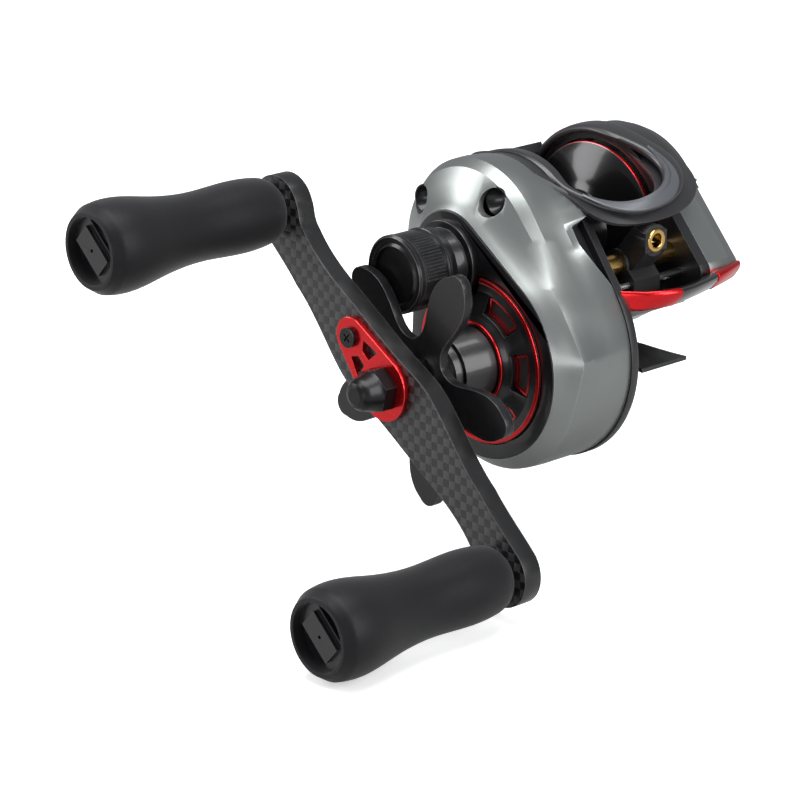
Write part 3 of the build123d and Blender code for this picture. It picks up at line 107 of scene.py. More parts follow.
def make_edge_wear():
    tree, given, made = effect(
        "edge_wear",
        [("Radius", FLOAT, 0.0003), ("Breakup", FLOAT, 900.0), ("Vector", VECTOR, None)],
        [("Mask", FLOAT)],
    )
    rounded = node(tree, "ShaderNodeBevel", samples=4)
    link(tree, given.outputs["Radius"], rounded.inputs["Radius"])
    face = node(tree, "ShaderNodeNewGeometry")
    facing = node(tree, "ShaderNodeVectorMath", operation="DOT_PRODUCT")
    link(tree, rounded.outputs["Normal"], facing.inputs[0])
    link(tree, face.outputs["Normal"], facing.inputs[1])
    turned_away = maths(tree, "SUBTRACT", 1.0, facing.outputs["Value"], True)
    noise = node(tree, "ShaderNodeTexNoise")
    link(tree, given.outputs["Vector"], noise.inputs["Vector"])
    link(tree, given.outputs["Breakup"], noise.inputs["Scale"])
    broken = maths(tree, "MULTIPLY", turned_away, maths(tree, "MULTIPLY", noise.outputs["Fac"], 9.0))
    link(tree, maths(tree, "MINIMUM", broken, 1.0, True), made.inputs["Mask"])
    return tree


def make_grain():
    tree, given, made = effect(
        "grain", [("Vector", VECTOR, None), ("Fine", FLOAT, 6000.0), ("Broad", FLOAT, 60.0)],
        [("Tone", FLOAT), ("Height", FLOAT)],
    )
    fine = node(tree, "ShaderNodeTexNoise")
    fine.inputs["Detail"].default_value = 3
    broad = node(tree, "ShaderNodeTexNoise")
    for texture, scale in ((fine, "Fine"), (broad, "Broad")):
        link(tree, given.outputs["Vector"], texture.inputs["Vector"])
        link(tree, given.outputs[scale], texture.inputs["Scale"])
    halves = [maths(tree, "MULTIPLY", texture.outputs["Fac"], 0.5) for texture in (fine, broad)]
    both = maths(tree, "ADD", *halves)
    link(tree, both, made.inputs["Tone"])
    link(tree, fine.outputs["Fac"], made.inputs["Height"])
    return tree


def make_carbon():
    """A plain weave in the plane of X and Y of the given vector."""
    tree, given, made = effect(
        "carbon_weave",
        [("Vector", VECTOR, None), ("Cells", FLOAT, 570.0)],
        [("Tow", FLOAT), ("Height", FLOAT)],
    )
    apart = node(tree, "ShaderNodeSeparateXYZ")
    scaled = node(tree, "ShaderNodeVectorMath", operation="SCALE")
    link(tree, given.outputs["Vector"], scaled.inputs[0])
    link(tree, given.outputs["Cells"], scaled.inputs["Scale"])
    link(tree, scaled.outputs[0], apart.inputs[0])
    x, y = apart.outputs["X"], apart.outputs["Y"]
    cell = maths(tree, "ADD", maths(tree, "FLOOR", x), maths(tree, "FLOOR", y))
    tow = maths(tree, "GREATER_THAN", maths(tree, "FLOORED_MODULO", cell, 2.0), 0.5)
    rounds = []
    for axis in (x, y):
        inside = maths(tree, "FRACT", axis)
        rounds.append(maths(tree, "SINE", maths(tree, "MULTIPLY", inside, math.pi)))
    other = maths(tree, "SUBTRACT", 1.0, tow)
    over = maths(tree, "MULTIPLY", rounds[0], tow)
    under = maths(tree, "MULTIPLY", rounds[1], other)
    height = maths(tree, "ADD", over, under)
    strands = []
    for axis, share in ((x, tow), (y, other)):
        fine = maths(tree, "SINE", maths(tree, "MULTIPLY", axis, 50.0))
        strands.append(maths(tree, "MULTIPLY", maths(tree, "MULTIPLY", fine, 0.12), share))
    link(tree, tow, made.inputs["Tow"])
    link(tree, maths(tree, "ADD", height, maths(tree, "ADD", *strands)), made.inputs["Height"])
    return tree


EDGE_WEAR, GRAIN, CARBON = make_edge_wear(), make_grain(), make_carbon()


def use(tree, group):
    made = node(tree, "ShaderNodeGroup")
    made.node_tree = group
    return made


def finish(
    name, colour, rough, metallic=0.0, coat=0.0, worn=None, wear=0.0003, fine=6000.0, broad=60.0,
    tone=0.25, rough_spread=0.12, bump=0.02, sheen=0.0, spec=0.5, coat_rough=0.08,
    weave=None, turn=None,
):
    """A finish with grain, uneven gloss, worn edges and, if asked, woven carbon with a painted reflection:
    one set of tows is painted lighter.
    """
    made = bpy.data.materials.new(name)
    made.use_nodes = True
    tree = made.node_tree
    shader = tree.nodes["Principled BSDF"]
    shader.inputs["Metallic"].default_value = metallic
    shader.inputs["Coat Weight"].default_value = coat
    shader.inputs["Coat Roughness"].default_value = coat_rough
    shader.inputs["Sheen Weight"].default_value = sheen
    shader.inputs["Specular IOR Level"].default_value = spec
    place = node(tree, "ShaderNodeTexCoord")
    grain = use(tree, GRAIN)
    link(tree, place.outputs["Object"], grain.inputs["Vector"])
    grain.inputs["Fine"].default_value = fine
    grain.inputs["Broad"].default_value = broad
    swing = maths(tree, "MULTIPLY", maths(tree, "SUBTRACT", grain.outputs["Tone"], 0.5), tone * 2)
    low = [c * 0.5 for c in colour] + [1]
    high = [min(1, c * 1.5) for c in colour] + [1]
    shade = node(tree, "ShaderNodeMix", data_type="RGBA")
    link(tree, maths(tree, "ADD", 0.5, swing, True), shade.inputs["Factor"])
    shade.inputs["A"].default_value = low
    shade.inputs["B"].default_value = high
    colour_out = shade.outputs["Result"]
    height = maths(tree, "MULTIPLY", grain.outputs["Height"], bump)
    if weave:
        turned = node(tree, "ShaderNodeMapping")
        turned.inputs["Rotation"].default_value = turn or (0, 0, 0)
        link(tree, place.outputs["Object"], turned.inputs["Vector"])
        cloth = use(tree, CARBON)
        cloth.inputs["Cells"].default_value = weave
        link(tree, turned.outputs["Vector"], cloth.inputs["Vector"])
        facing = node(tree, "ShaderNodeSeparateXYZ")
        link(tree, place.outputs["Normal"], facing.inputs[0])
        flat = maths(tree, "GREATER_THAN", maths(tree, "ABSOLUTE", facing.outputs["Y"]), 0.9)
        # Painted reflection: the tows running one way are painted lighter, standing in for how carbon tows
        # catch light differently by direction.
        tow_reflection = node(tree, "ShaderNodeMix", data_type="RGBA")
        share = maths(tree, "MULTIPLY", cloth.outputs["Tow"], maths(tree, "MULTIPLY", flat, 0.9))
        link(tree, share, tow_reflection.inputs["Factor"])
        link(tree, colour_out, tow_reflection.inputs["A"])
        tow_reflection.inputs["B"].default_value = [min(1, c * 4.2 + 0.02) for c in colour] + [1]
        colour_out = tow_reflection.outputs["Result"]
        woven = maths(tree, "MULTIPLY", cloth.outputs["Height"], maths(tree, "MULTIPLY", flat, 0.06))
        height = maths(tree, "ADD", height, woven)
    if worn:
        edges = use(tree, EDGE_WEAR)
        edges.inputs["Radius"].default_value = wear
        link(tree, place.outputs["Object"], edges.inputs["Vector"])
        rubbed = node(tree, "ShaderNodeMix", data_type="RGBA")
        link(tree, edges.outputs["Mask"], rubbed.inputs["Factor"])
        link(tree, colour_out, rubbed.inputs["A"])
        rubbed.inputs["B"].default_value = list(worn) + [1]
        colour_out = rubbed.outputs["Result"]
    link(tree, colour_out, shader.inputs["Base Color"])
    uneven = maths(tree, "SUBTRACT", grain.outputs["Tone"], 0.5)
    gloss = maths(tree, "MULTIPLY", uneven, rough_spread * 2)
    link(tree, maths(tree, "ADD", rough, gloss, True), shader.inputs["Roughness"])
    relief = node(tree, "ShaderNodeBump")
    relief.inputs["Strength"].default_value = 1.0
    relief.inputs["Distance"].default_value = 0.001
    link(tree, height, relief.inputs["Height"])
    link(tree, relief.outputs["Normal"], shader.inputs["Normal"])
    return made


FINISH = {
    "cover_silver": finish(
        "cover_silver", (0.235, 0.25, 0.245), 0.36, 0.9, coat=0.25, coat_rough=0.2, fine=9000,
        broad=45, tone=0.10, rough_spread=0.05, bump=0.004, worn=(0.62, 0.63, 0.65), wear=0.00025,
    ),
    "frame_black": finish(
        "frame_black", (0.006, 0.006, 0.007), 0.38, 0.0, coat=0.3, fine=7000, bump=0.01,
        worn=(0.05, 0.05, 0.055),
    ),
    "hood_grey": finish(
        "hood_grey", (0.014, 0.014, 0.016), 0.36, 0.0, fine=8000, bump=0.012, coat=0.25,
        coat_rough=0.3, worn=(0.05, 0.05, 0.055),
    ),
    "hood_crescent": finish(
        "hood_crescent", (0.10, 0.105, 0.115), 0.42, 0.5, fine=8000, bump=0.006, tone=0.1,
    ),
    "band_black": finish(
        "band_black", (0.006, 0.006, 0.007), 0.12, 0.0, coat=0.8, fine=7000, bump=0.002,
    ),
    "anodised_red": finish(
        "anodised_red", (0.60, 0.010, 0.014), 0.26, 0.9, coat=0.2, fine=9000, bump=0.004,
        tone=0.12, worn=(0.85, 0.12, 0.10), wear=0.00015,
    ),
    "disc_black": finish(
        "disc_black", (0.005, 0.005, 0.006), 0.34, 0.2, coat=0.3, fine=9000, bump=0.006,
        worn=(0.05, 0.05, 0.055), wear=0.00015,
    ),
    "screen_grey": finish("screen_grey", (0.03, 0.03, 0.031), 0.45, 0.4, fine=6000, bump=0.01),
    "star_grey": finish(
        "star_grey", (0.004, 0.004, 0.005), 0.36, 0.2, fine=9000, bump=0.012, coat=0.1,
        worn=(0.09, 0.09, 0.095), wear=0.0003,
    ),
    "knob_grey": finish(
        "knob_grey", (0.006, 0.006, 0.007), 0.30, 0.4, fine=9000, bump=0.006, coat=0.2,
        worn=(0.10, 0.10, 0.105), wear=0.0002,
    ),
    "steel": finish("steel", (0.45, 0.45, 0.46), 0.26, 1.0, fine=9000, bump=0.006, tone=0.15),
    "bearing_steel": finish(
        "bearing_steel", (0.6, 0.6, 0.61), 0.16, 1.0, fine=9000, bump=0.003, tone=0.1,
    ),
    "screw_black": finish(
        "screw_black", (0.007, 0.007, 0.008), 0.30, 0.5, fine=9000, bump=0.006,
        worn=(0.10, 0.10, 0.105), wear=0.0002,
    ),
    "brass": finish("brass", (0.62, 0.40, 0.13), 0.26, 1.0, fine=9000, bump=0.004, tone=0.15),
    "gear_plastic": finish(
        "gear_plastic", (0.55, 0.53, 0.48), 0.45, fine=7000, bump=0.01, tone=0.1,
    ),
    # The carbon finishes get a painted reflection on their weave: one set of tows is painted lighter.
    "drag_carbon": finish(
        "drag_carbon", (0.012, 0.012, 0.013), 0.5, fine=9000, weave=700, turn=(math.pi / 2, 0, 0),
    ),
    "arm_carbon": finish(
        "arm_carbon", (0.0045, 0.0045, 0.005), 0.36, 0.0, coat=0.35, coat_rough=0.2, spec=0.35,
        fine=9000, bump=0.004, weave=560, turn=(math.pi / 2, 0, 0), worn=(0.10, 0.10, 0.105),
        wear=0.0003,
    ),
    "knob_rubber": finish(
        "knob_rubber", (0.005, 0.005, 0.006), 0.42, 0.0, spec=0.14, fine=5200, broad=40, bump=0.03,
        sheen=0.1, tone=0.15,
    ),
    "cap_grey": finish(
        "cap_grey", (0.006, 0.006, 0.007), 0.30, fine=8000, bump=0.006, worn=(0.05, 0.05, 0.055),
    ),
    "thumb_rubber": finish("thumb_rubber", (0.010, 0.010, 0.012), 0.5, fine=4000, bump=0.03),
    "spool_dark": finish(
        "spool_dark", (0.010, 0.010, 0.011), 0.22, 0.7, coat=0.3, fine=9000, bump=0.002,
        worn=(0.14, 0.14, 0.15), wear=0.0002,
    ),
    "guide_black": finish("guide_black", (0.010, 0.010, 0.011), 0.42, fine=7000, bump=0.012),
    "insert_ceramic": finish(
        "insert_ceramic", (0.62, 0.42, 0.14), 0.16, 1.0, fine=9000, bump=0.002, tone=0.1,
    ),
    "magnet_steel": finish("magnet_steel", (0.5, 0.5, 0.5), 0.2, 1.0, fine=9000, bump=0.003),
}


def dress(piece, material):
    piece.data.materials.clear()
    piece.data.materials.append(material)


slot_of = {entry["node"]: entry["material_slot"] for entry in frame["record"]["subparts"]}
for name, piece in frame["nodes"].items():
    dress(piece, FINISH[slot_of[name]])
    # The frame's meshes are loose triangles: modifiers join them and soften their edges.
    joined = piece.modifiers.new("joined", "WELD")
    joined.merge_threshold = 0.000002
    soft = piece.modifiers.new("soft_edges", "BEVEL")
    soft.width = 0.00018
    soft.segments = 2
    soft.limit_method = "ANGLE"
    soft.angle_limit = math.radians(32)
    soft.harden_normals = False
    if name == "handle_arm":
        soft.width = 0.0007
        soft.segments = 3

# --- modelling helpers ----------------------------------------------------------------------------

def start(name):
    """Names the primitive just added and opens it for editing."""
    made = bpy.context.object
    made.name = name
    bpy.ops.object.mode_set(mode="EDIT")
    return made


def clear_selection():
    if bpy.context.object and bpy.context.object.mode != "OBJECT":
        bpy.ops.object.mode_set(mode="OBJECT")
    bpy.ops.object.select_all(action="DESELECT")


def done(piece, body, material, slot, *nodes, angle=35):
    """Closes a piece: places it in its mesh, shades it and puts it on its CAD body."""
    if bpy.context.object.mode != "OBJECT":
        bpy.ops.object.mode_set(mode="OBJECT")
    bpy.ops.object.select_all(action="DESELECT")
    piece.select_set(True)
    bpy.context.view_layer.objects.active = piece
    bpy.ops.object.transform_apply(location=True, rotation=True, scale=True)
    bpy.ops.object.shade_smooth_by_angle(angle=math.radians(angle))
    dress(piece, material)
    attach(piece, body)
    if nodes:
        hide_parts(*nodes)
    return piece


def apply(piece, kind, **settings):
    bpy.ops.object.mode_set(mode="OBJECT")
    bpy.context.view_layer.objects.active = piece
    step = piece.modifiers.new(kind.lower(), kind)
    for name, value in settings.items():
        setattr(step, name, value)
    bpy.ops.object.modifier_apply(modifier=step.name)


def place_selected(points):
    """Puts the selected vertices, in the order of their indices, at points given in millimetres."""
    mesh = bmesh.from_edit_mesh(bpy.context.object.data)
    chosen = [v for v in mesh.verts if v.select]
    for vert, point in zip(chosen, points):
        vert.co = Vector(point) * MM
    bmesh.update_edit_mesh(bpy.context.object.data)


def strip(name, rows, round_trip=False):
    """A skin over rows of points: a wire of points is extruded row by row."""
    clear_selection()
    if round_trip:
        bpy.ops.mesh.primitive_circle_add(vertices=len(rows[0]), radius=MM)
        made = start(name)
    else:
        bpy.ops.mesh.primitive_plane_add(size=MM)
        made = start(name)
        bpy.ops.mesh.merge(type="CENTER")
        for _ in rows[0][1:]:
            bpy.ops.mesh.extrude_region_move()
        bpy.ops.mesh.select_all(action="SELECT")
    place_selected(rows[0])
    for row in rows[1:]:
        bpy.ops.mesh.extrude_region_move()
        place_selected(row)
    bpy.ops.mesh.select_all(action="SELECT")
    bpy.ops.mesh.normals_make_consistent(inside=False)
    return made


def lathe(name, centre, profile, steps=96):
    """A turned skin about an axis along Y: (y, radius) points spun a full turn."""
    clear_selection()
    bpy.ops.mesh.primitive_plane_add(size=MM)
    made = start(name)
    bpy.ops.mesh.merge(type="CENTER")
    for _ in profile[1:]:
        bpy.ops.mesh.extrude_region_move()
    bpy.ops.mesh.select_all(action="SELECT")
    place_selected([(centre[0] + r, y, centre[1]) for y, r in profile])
    bpy.ops.mesh.spin(
        steps=steps, angle=2 * math.pi, center=(centre[0] * MM, 0, centre[1] * MM), axis=(0, 1, 0)
    )
    bpy.ops.mesh.select_all(action="SELECT")
    bpy.ops.mesh.remove_doubles(threshold=0.000004)
    bpy.ops.mesh.normals_make_consistent(inside=False)
    return made


def block(name, corners, near, far):
    """A prism: an (x, z) outline drawn point by point, filled, and drawn out along Y."""
    clear_selection()
    bpy.ops.mesh.primitive_plane_add(size=MM)
    made = start(name)
    bpy.ops.mesh.merge(type="CENTER")
    for _ in corners[1:]:
        bpy.ops.mesh.extrude_region_move()
    bpy.ops.mesh.select_all(action="SELECT")
    place_selected([(x, near, z) for x, z in corners])
    bpy.ops.mesh.edge_face_add()
    bpy.ops.mesh.extrude_region_move(TRANSFORM_OT_translate={"value": (0, (far - near) * MM, 0)})
    bpy.ops.mesh.select_all(action="SELECT")
    bpy.ops.mesh.normals_make_consistent(inside=False)
    return made


def round_spool(angle, y, radius):
    a = math.radians(angle)
    return (SPOOL[0] + radius * math.cos(a), y, SPOOL[1] + radius * math.sin(a))


def circle(centre, radius, count):
    """Points round a circle, as (x, z)."""
    ring = []
    for k in range(count):
        a = math.pi * k / (count // 2)
        ring.append((centre[0] + radius * math.cos(a), centre[1] + radius * math.sin(a)))
    return ring


def cut(piece, cutter):
    """Takes the cutter's shape out of a piece, then throws the cutter away."""
    apply(piece, "BOOLEAN", operation="DIFFERENCE", object=cutter, solver="MANIFOLD")
    bpy.data.objects.remove(cutter)


# --- hood -----------------------------------------------------------------------------------------
STEP = ((-9.1, 20.4), (-8.9, 22.1), (-10.2, 22.6), (-12.5, 22.5), (-13.0, 21.3))
BAND = ((-9.7, 19.75), (-9.5, 20.1), (-11.0, 20.35), (-14.0, 20.7), (-16.45, 20.85))
FAR_RIM = ((12.7, 20.3), (10.4, 21.3), (11.6, 22.2), (18.6, 22.2), (23.6, 20.9))
HOOD_SUBDIVISIONS = 3


def around(section, bearings):
    """A section of (y, radius) points repeated at bearings round the spool."""
    return [[round_spool(a, y, radius) for y, radius in section] for a in bearings]


# The band starts on the step where the side wall rises again.
near_side = around(STEP, (156, 146, 137, 130)) + around(BAND, (118, 106, 94, 82, 71, 60))
front = [
    [(8.3, -9.4, 35.2), (8.8, -10.1, 36.9), (9.2, -11.3, 37.9), (8.9, -13.6, 38.7), (8.3, -15.6, 39.2)],
    [(12.0, -7.2, 34.0), (12.6, -8.2, 35.9), (13.2, -9.8, 36.6), (13.0, -11.6, 37.2), (12.6, -13.0, 37.2)],
    [(15.4, -3.9, 33.2), (16.2, -4.8, 34.9), (17.4, -7.0, 35.2), (17.6, -9.8, 35.0), (17.4, -12.3, 34.2)],
    [(18.2, -0.6, 33.6), (19.2, -1.0, 35.2), (21.1, -3.2, 34.9), (22.2, -6.2, 33.6), (21.9, -9.4, 32.2)],
    [(18.9, 3.0, 34.6), (20.0, 2.8, 36.0), (22.4, 1.0, 35.4), (24.0, -0.8, 33.4), (24.2, -2.6, 31.6)],
    [(18.5, 6.4, 35.6), (19.6, 6.4, 37.0), (22.2, 6.0, 36.0), (23.9, 5.4, 33.8), (24.2, 4.6, 31.6)],
    [(16.2, 9.4, 37.0), (17.2, 10.0, 38.5), (19.9, 11.2, 37.6), (22.6, 11.6, 34.4), (23.2, 11.2, 31.8)],
    [(12.2, 11.3, 38.6), (13.0, 12.0, 40.4), (15.9, 14.6, 39.9), (19.6, 17.2, 36.6), (21.0, 17.8, 33.6)],
    [(7.0, 12.6, 40.0), (7.4, 12.0, 42.0), (9.4, 14.8, 42.6), (13.4, 20.4, 40.4), (16.0, 22.6, 37.2)],
]
far_side = around(FAR_RIM, (76, 90, 104, 118, 132, 146, 158))
hood_shell = strip("hood_shell", near_side + front + far_side)
apply(hood_shell, "SUBSURF", levels=HOOD_SUBDIVISIONS, render_levels=HOOD_SUBDIVISIONS)
apply(hood_shell, "SOLIDIFY", thickness=0.0007, offset=-1)
done(hood_shell, "frame", FINISH["hood_grey"], "hood_grey", "hood", angle=50)

CRESCENT_LIFT = (0.5, -0.4, 0.62)
# Station of the hood's front, then how far across it the crescent starts and ends.
CRESCENT_SPANS = (
    (1, 2.1, 2.3), (2, 1.9, 2.7), (3, 1.55, 3.0), (4, 1.35, 3.05),
    (5, 1.3, 3.0), (6, 1.35, 2.8), (7, 1.5, 2.4), (8, 1.6, 1.8),
)


def across_lip(station, reach):
    """A point on a station of the hood's front, counted in its points and lifted a little."""
    first = min(int(reach), 3)
    p, q = Vector(front[station][first]), Vector(front[station][first + 1])
    return tuple(p.lerp(q, reach - first) + Vector(CRESCENT_LIFT))


crescent = strip("hood_crescent", [
    [across_lip(station, near + (far - near) * k / 3) for k in range(4)]
    for station, near, far in CRESCENT_SPANS
])
apply(crescent, "SUBSURF", levels=HOOD_SUBDIVISIONS, render_levels=HOOD_SUBDIVISIONS)
apply(crescent, "SOLIDIFY", thickness=0.0005, offset=0)
done(crescent, "frame", FINISH["hood_crescent"], "hood_crescent", "hood_insert", angle=50)

# --- gear-side cover ------------------------------------------------------------------------------
HEART = (1.5, 11.0)


def inside(point, circles):
    """True within the stretched skin round circles given as (centre, radius)."""
    for first in circles:
        for second in circles:
            for k in range(13):
                t = k / 12
                x = first[0][0] + (second[0][0] - first[0][0]) * t
                z = first[0][1] + (second[0][1] - first[0][1]) * t
                if math.hypot(point[0] - x, point[1] - z) < first[1] + (second[1] - first[1]) * t:
                    return True
    return False


def outline(circles, y, count=120):
    """Points round the skin of the circles, as seen from the heart of the cover."""
    ring = []
    for k in range(count):
        a = 2 * math.pi * k / count
        near, far = 5.0, 45.0
        for _ in range(18):
            mid = (near + far) / 2
            if inside((HEART[0] + mid * math.cos(a), HEART[1] + mid * math.sin(a)), circles):
                near = mid
            else:
                far = mid
        point = (HEART[0] + near * math.cos(a), HEART[1] + near * math.sin(a))
        ring.append((point[0], y(point) if callable(y) else y, point[1]))
    return ring


def cover_edge(point):
    """How far back the cover reaches: it stops short under the hood's band and over the mouth."""
    a = math.degrees(math.atan2(point[1] - SPOOL[1], point[0] - SPOOL[0]))
    if 62 < a < 129:
        return -16.6
    if 44 < a <= 62:
        return -12.2 - 4.4 * (a - 44) / 18
    if point[0] > 12 and 20.0 < point[1] < 32.6:
        return -12.6 - 4.6 * min(1, (point[1] - 20.0) / 9)
    if point[0] > 12 and point[1] >= 32.6:
        return -11.6
    return -12.6


cover = strip("silver_cover", [
    outline([(DRIVE, 25.4), (SPOOL, 20.75), ((14.3, 33.6), 1.6), ((28.3, 6.6), 2.4)], cover_edge),
    outline([(DRIVE, 25.4), (SPOOL, 21.0), ((13.0, 33.0), 1.8), ((28.5, 6.6), 2.4)], -18.2),
    outline([(DRIVE, 25.4), (SPOOL, 21.3), ((10.6, 32.2), 2.4), ((29.0, 6.7), 2.4)], -21.5),
    outline([(DRIVE, 25.4), (SPOOL, 21.2), ((29.6, 6.8), 2.4)], -24.4),
    outline([(DRIVE, 25.3), (SPOOL, 19.6), ((30.1, 6.9), 2.4)], -26.8),
    outline([(DRIVE, 25.1), (SPOOL, 16.6), ((30.2, 7.0), 2.4)], -28.4),
    outline([(DRIVE, 24.1), (SPOOL, 14.2), ((28.6, 6.8), 2.2)], -29.7),
    outline([(DRIVE, 22.9), (SPOOL, 12.4), ((26.6, 6.5), 2.1)], -31.2),
    outline([(DRIVE, 22.1), (SPOOL, 11.3)], -32.3),
    outline([(DRIVE, 21.6), (SPOOL, 10.8)], -32.2),
], round_trip=True)
apply(cover, "SOLIDIFY", thickness=0.0013, offset=-1)


for centre in RECESSES:
    socket = block("recess_cutter", circle(centre, RECESS_R, 48), -60.0, -20.5)
    cut(cover, socket)
apply(cover, "BEVEL", width=0.0003, segments=3, limit_method="ANGLE", angle_limit=math.radians(24))
done(cover, "frame", FINISH["cover_silver"], "cover_silver", "gear_side_cover", angle=24)

# Black ring round the dish, carried up round the tension knob.
rim_plan = [(x, z) for x, _, z in outline([(DRIVE, 22.0), (SPOOL, 10.9)], 0)]
rim = block("dish_rim", rim_plan, -32.55, -30.4)
cutter = block("dish_cutter", circle(DRIVE, DISH_R, 120), -60.0, -20.0)
cut(rim, cutter)
apply(rim, "BEVEL", width=0.0003, segments=3, limit_method="ANGLE", angle_limit=math.radians(40))
done(rim, "frame", FINISH["disc_black"], "disc_black")
WELL = [(-20.8, 0), (-20.8, 3.3), (-27.0, 3.3), (-27.0, 3.0), (-21.6, 3.0), (-21.6, 0)]
for name, centre in zip(("screw_wells", "screw_well"), RECESSES):
    well = lathe(name, centre, WELL, 48)
    done(well, "frame", FINISH["disc_black"], "disc_black")

# --- front bar ------------------------------------------------------------------------------------
BAR_TOP = (
    (24.6, -12.3), (27.2, -10.4), (30.3, -7.4), (32.6, -3.4), (33.5, 0.5),
    (33.2, 5.0), (32.3, 9.5), (31.1, 14.3), (29.3, 20.0), (27.4, 25.2),
)
BAR_FOOT = (
    (24.9, -12.4), (27.2, -10.6), (29.6, -7.6), (31.0, -3.6), (31.4, 0.5),
    (31.0, 5.0), (30.0, 9.8), (28.8, 14.6), (27.4, 19.8), (25.8, 24.9),
)


def bar_piece(name, first, last, proud):
    """A stretch of the front bar between two of its stations, standing proud by a little."""
    rows = []
    for (x1, y1), (x2, y2) in list(zip(BAR_TOP, BAR_FOOT))[first:last + 1]:
        rows.append([
            (x1 - 2.4, y1, 18.3), (x1 - 0.5 + proud, y1, 18.5 + proud),
            (x1 + proud, y1, 18.0), (x1 - 0.3 + proud, y1, 16.9),
            (x2 + proud, y2, 14.9), (x2 - 0.6, y2, 14.4 - proud),
            (x2 - 2.6, y2, 14.5), (x2 - 2.4, y2, 16.0),
        ])
    made = strip(name, rows, round_trip=True)
    for end in (rows[0], rows[-1]):
        bpy.ops.mesh.select_all(action="DESELECT")
        mesh = bmesh.from_edit_mesh(made.data)
        for vert in mesh.verts:
            vert.select = any((vert.co - Vector(p) * MM).length < 1e-7 for p in end)
        mesh.select_flush(True)
        bmesh.update_edit_mesh(made.data)
        bpy.ops.mesh.edge_face_add()
    bpy.ops.mesh.select_all(action="SELECT")
    bpy.ops.mesh.normals_make_consistent(inside=False)
    apply(made, "BEVEL", width=0.0003, segments=3, limit_method="ANGLE", angle_limit=math.radians(40))
    return made


RED = FINISH["anodised_red"]
front_bar = bar_piece("front_bar", 0, 9, 0.0)
done(front_bar, "frame", FINISH["band_black"], "band_black", "front_band")
done(bar_piece("bar_red_near", 0, 4, 0.25), "frame", RED, "anodised_red", "front_band_red")
done(bar_piece("bar_red_far", 7, 9, 0.25), "frame", RED, "anodised_red")

# --- palm side ------------------------------------------------------------------------------------
PALM = ((SPOOL, 21.3), ((24.6, 18.0), 2.8), ((-6.0, 9.0), 11.0))


def palm_row(grow, y, low, high):
    """The palm plate's skin at one station, between two bearings seen from the spool."""
    ring = outline([(centre, radius + grow) for centre, radius in PALM], y, 180)
    kept = []
    for p in ring:
        bearing = math.degrees(math.atan2(p[2] - SPOOL[1], p[0] - SPOOL[0]))
        if low < bearing < high:
            kept.append((bearing, p))
    return [p for _, p in sorted(kept)]


def matched(rows):
    """Rows cut to the same number of points."""
    least = min(len(row) for row in rows)
    return [[row[round(k * (len(row) - 1) / (least - 1))] for k in range(least)] for row in rows]


# How far the shell stands off the plate at each station along Y.
PALM_SECTION = ((0.35, 15.4), (0.45, 18.0), (0.35, 21.8), (-0.35, 23.9), (-1.25, 25.9))
PALM_BEARINGS = (26, 166)
palm_rows = matched([palm_row(grow, y, *PALM_BEARINGS) for grow, y in PALM_SECTION])
palm_shell = strip("palm_shell", palm_rows)
apply(palm_shell, "SOLIDIFY", thickness=0.0005, offset=-1)
apply(palm_shell, "BEVEL", width=0.0002, segments=2, limit_method="ANGLE", angle_limit=math.radians(30))
done(palm_shell, "frame", FINISH["hood_grey"], "hood_grey", angle=30)

# --- tension knob's knurl -------------------------------------------------------------------------
KNURL_STEPS = 288
PATCH_PITCH, PATCH_SPAN = 120, 74
knurl_plan = []
for k in range(KNURL_STEPS):
    a = 2 * math.pi * k / KNURL_STEPS
    patch = (math.degrees(a) % PATCH_PITCH) < PATCH_SPAN
    radius = 8.62 if patch and k % 4 < 2 else 8.3 if patch else 8.42
    knurl_plan.append((SPOOL[0] + radius * math.cos(a), SPOOL[1] + radius * math.sin(a)))
knurl = block("knob_knurl", knurl_plan, -46.6, -41.2)
apply(knurl, "BEVEL", width=0.00008, segments=1, limit_method="ANGLE", angle_limit=math.radians(50))
done(knurl, "tension", FINISH["knob_grey"], "knob_grey", angle=30)
for name, y1, y2, r in (("knob_lip", -48.6, -46.9, 8.62), ("knob_foot", -40.6, -39.4, 8.7)):
    section = [(y1, 6.2), (y1, r - 0.5), (y1 + 0.4, r), (y2 - 0.2, r), (y2, r - 0.2), (y2, 6.2)]
    lip = lathe(name, SPOOL, section, steps=96)
    done(lip, "tension", FINISH["knob_grey"], "knob_grey", angle=30)

# --- red trims round the disc's windows -----------------------------------------------------------


def trim(name, path, width, near, far):
    """A thin frame that follows a closed path of (x, z) points."""
    rows = []
    count = len(path)
    for k in range(count + 1):
        before, here, after = path[(k - 1) % count], path[k % count], path[(k + 1) % count]
        along = Vector((after[0] - before[0], after[1] - before[1])).normalized()
        out = Vector((along[1], -along[0])) * width
        rows.append([
            (here[0] - out[0], near, here[1] - out[1]), (here[0] + out[0], near, here[1] + out[1]),
            (here[0] + out[0], far, here[1] + out[1]), (here[0] - out[0], far, here[1] - out[1]),
        ])
    made = strip(name, rows, round_trip=True)
    bpy.ops.mesh.remove_doubles(threshold=0.00001)
    bpy.ops.mesh.normals_make_consistent(inside=False)
    return made


WINDOWS = 6
for k in range(WINDOWS):
    middle = k * 60
    path = []
    for radius, first, last in ((14.95, -17.5, 17.5), (11.45, 16.5, -16.5)):
        for step in range(13):
            a = math.radians(middle + first + (last - first) * step / 12)
            path.append((DRIVE[0] + radius * math.cos(a), DRIVE[1] + radius * math.sin(a)))
    edge = trim("window_trim_%d" % k, path, 0.2, -32.75, -32.1)
    done(edge, "frame", RED, "anodised_red", angle=40)

# --- studio ---------------------------------------------------------------------------------------
world = bpy.data.worlds.new("studio")
world.use_nodes = True
world.node_tree.nodes["Background"].inputs["Color"].default_value = (0.95, 0.97, 1.0, 1)
world.node_tree.nodes["Background"].inputs["Strength"].default_value = 0.32
bpy.context.scene.world = world


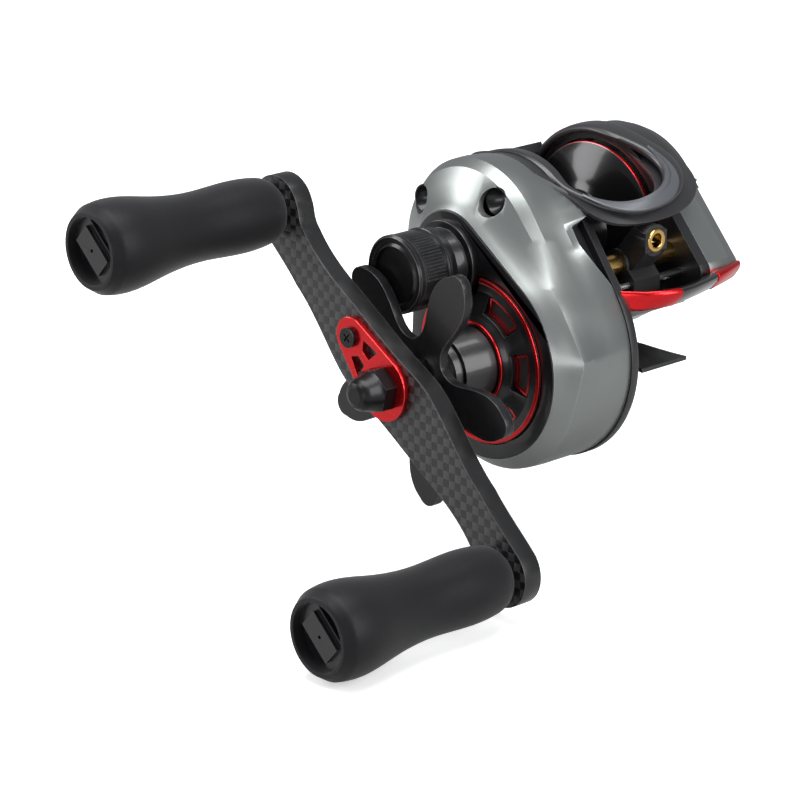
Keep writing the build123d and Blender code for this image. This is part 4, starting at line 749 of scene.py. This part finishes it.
def softbox(name, place, aim, size, power):
    lamp = bpy.data.lights.new(name, "AREA")
    lamp.shape = "RECTANGLE"
    lamp.size, lamp.size_y = size
    lamp.energy = power
    made = bpy.data.objects.new(name, lamp)
    bpy.context.collection.objects.link(made)
    made.location = Vector(place)
    made.rotation_euler = (Vector(aim) - Vector(place)).to_track_quat("-Z", "Y").to_euler()


middle = (0.0, -0.04, 0.0)
softbox("overhead", (0.05, -0.10, 0.70), middle, (0.7, 0.5), 7.5)
softbox("left_side", (-0.60, -0.55, 0.40), middle, (0.35, 0.6), 5.0)
softbox("right_side", (0.80, 0.10, 0.35), middle, (0.35, 0.7), 6.0)
softbox("camera_side", (0.45, -0.80, 0.10), middle, (0.5, 0.3), 1.6)

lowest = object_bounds()[0][2]
bpy.ops.object.select_all(action="DESELECT")
bpy.ops.mesh.primitive_plane_add(size=6, location=(0, 0, lowest - 0.0005))
floor = bpy.context.object
floor.name = "studio_floor"
pale = bpy.data.materials.new("pale_floor")
pale.use_nodes = True
surface = pale.node_tree.nodes["Principled BSDF"]
surface.inputs["Roughness"].default_value = 0.9
surface.inputs["Emission Color"].default_value = (1, 1, 1, 1)
seen = node(pale.node_tree, "ShaderNodeLightPath")
glow = maths(pale.node_tree, "MULTIPLY", seen.outputs["Is Camera Ray"], 0.42)
link(pale.node_tree, glow, surface.inputs["Emission Strength"])
tone = node(pale.node_tree, "ShaderNodeMix", data_type="RGBA")
tone.inputs["A"].default_value = (0.40, 0.40, 0.40, 1)
tone.inputs["B"].default_value = (0.90, 0.90, 0.90, 1)
link(pale.node_tree, seen.outputs["Is Camera Ray"], tone.inputs["Factor"])
link(pale.node_tree, tone.outputs["Result"], surface.inputs["Base Color"])
floor.data.materials.append(pale)

# --- camera ---------------------------------------------------------------------------------------
azimuth, elevation = math.radians(46.4), math.radians(18.18)
back = Vector((
    math.sin(azimuth) * math.cos(elevation),
    -math.cos(azimuth) * math.cos(elevation),
    math.sin(elevation),
))
right = Vector((math.cos(azimuth), math.sin(azimuth), 0))
above = back.cross(right)
aim = -back + right * (-0.02438) + above * (-0.01231)
lens = bpy.data.cameras.new("studio_camera")
lens.sensor_width = 36
lens.lens = 149.16
lens.clip_start, lens.clip_end = 0.05, 20
camera = bpy.data.objects.new("studio_camera", lens)
bpy.context.collection.objects.link(camera)
camera.location = Vector((0.0055, -0.0325, 0.003)) + back * 0.71376
camera.rotation_euler = aim.to_track_quat("-Z", "Y").to_euler()
bpy.context.scene.camera = camera
bpy.context.scene.view_settings.view_transform = "Standard"
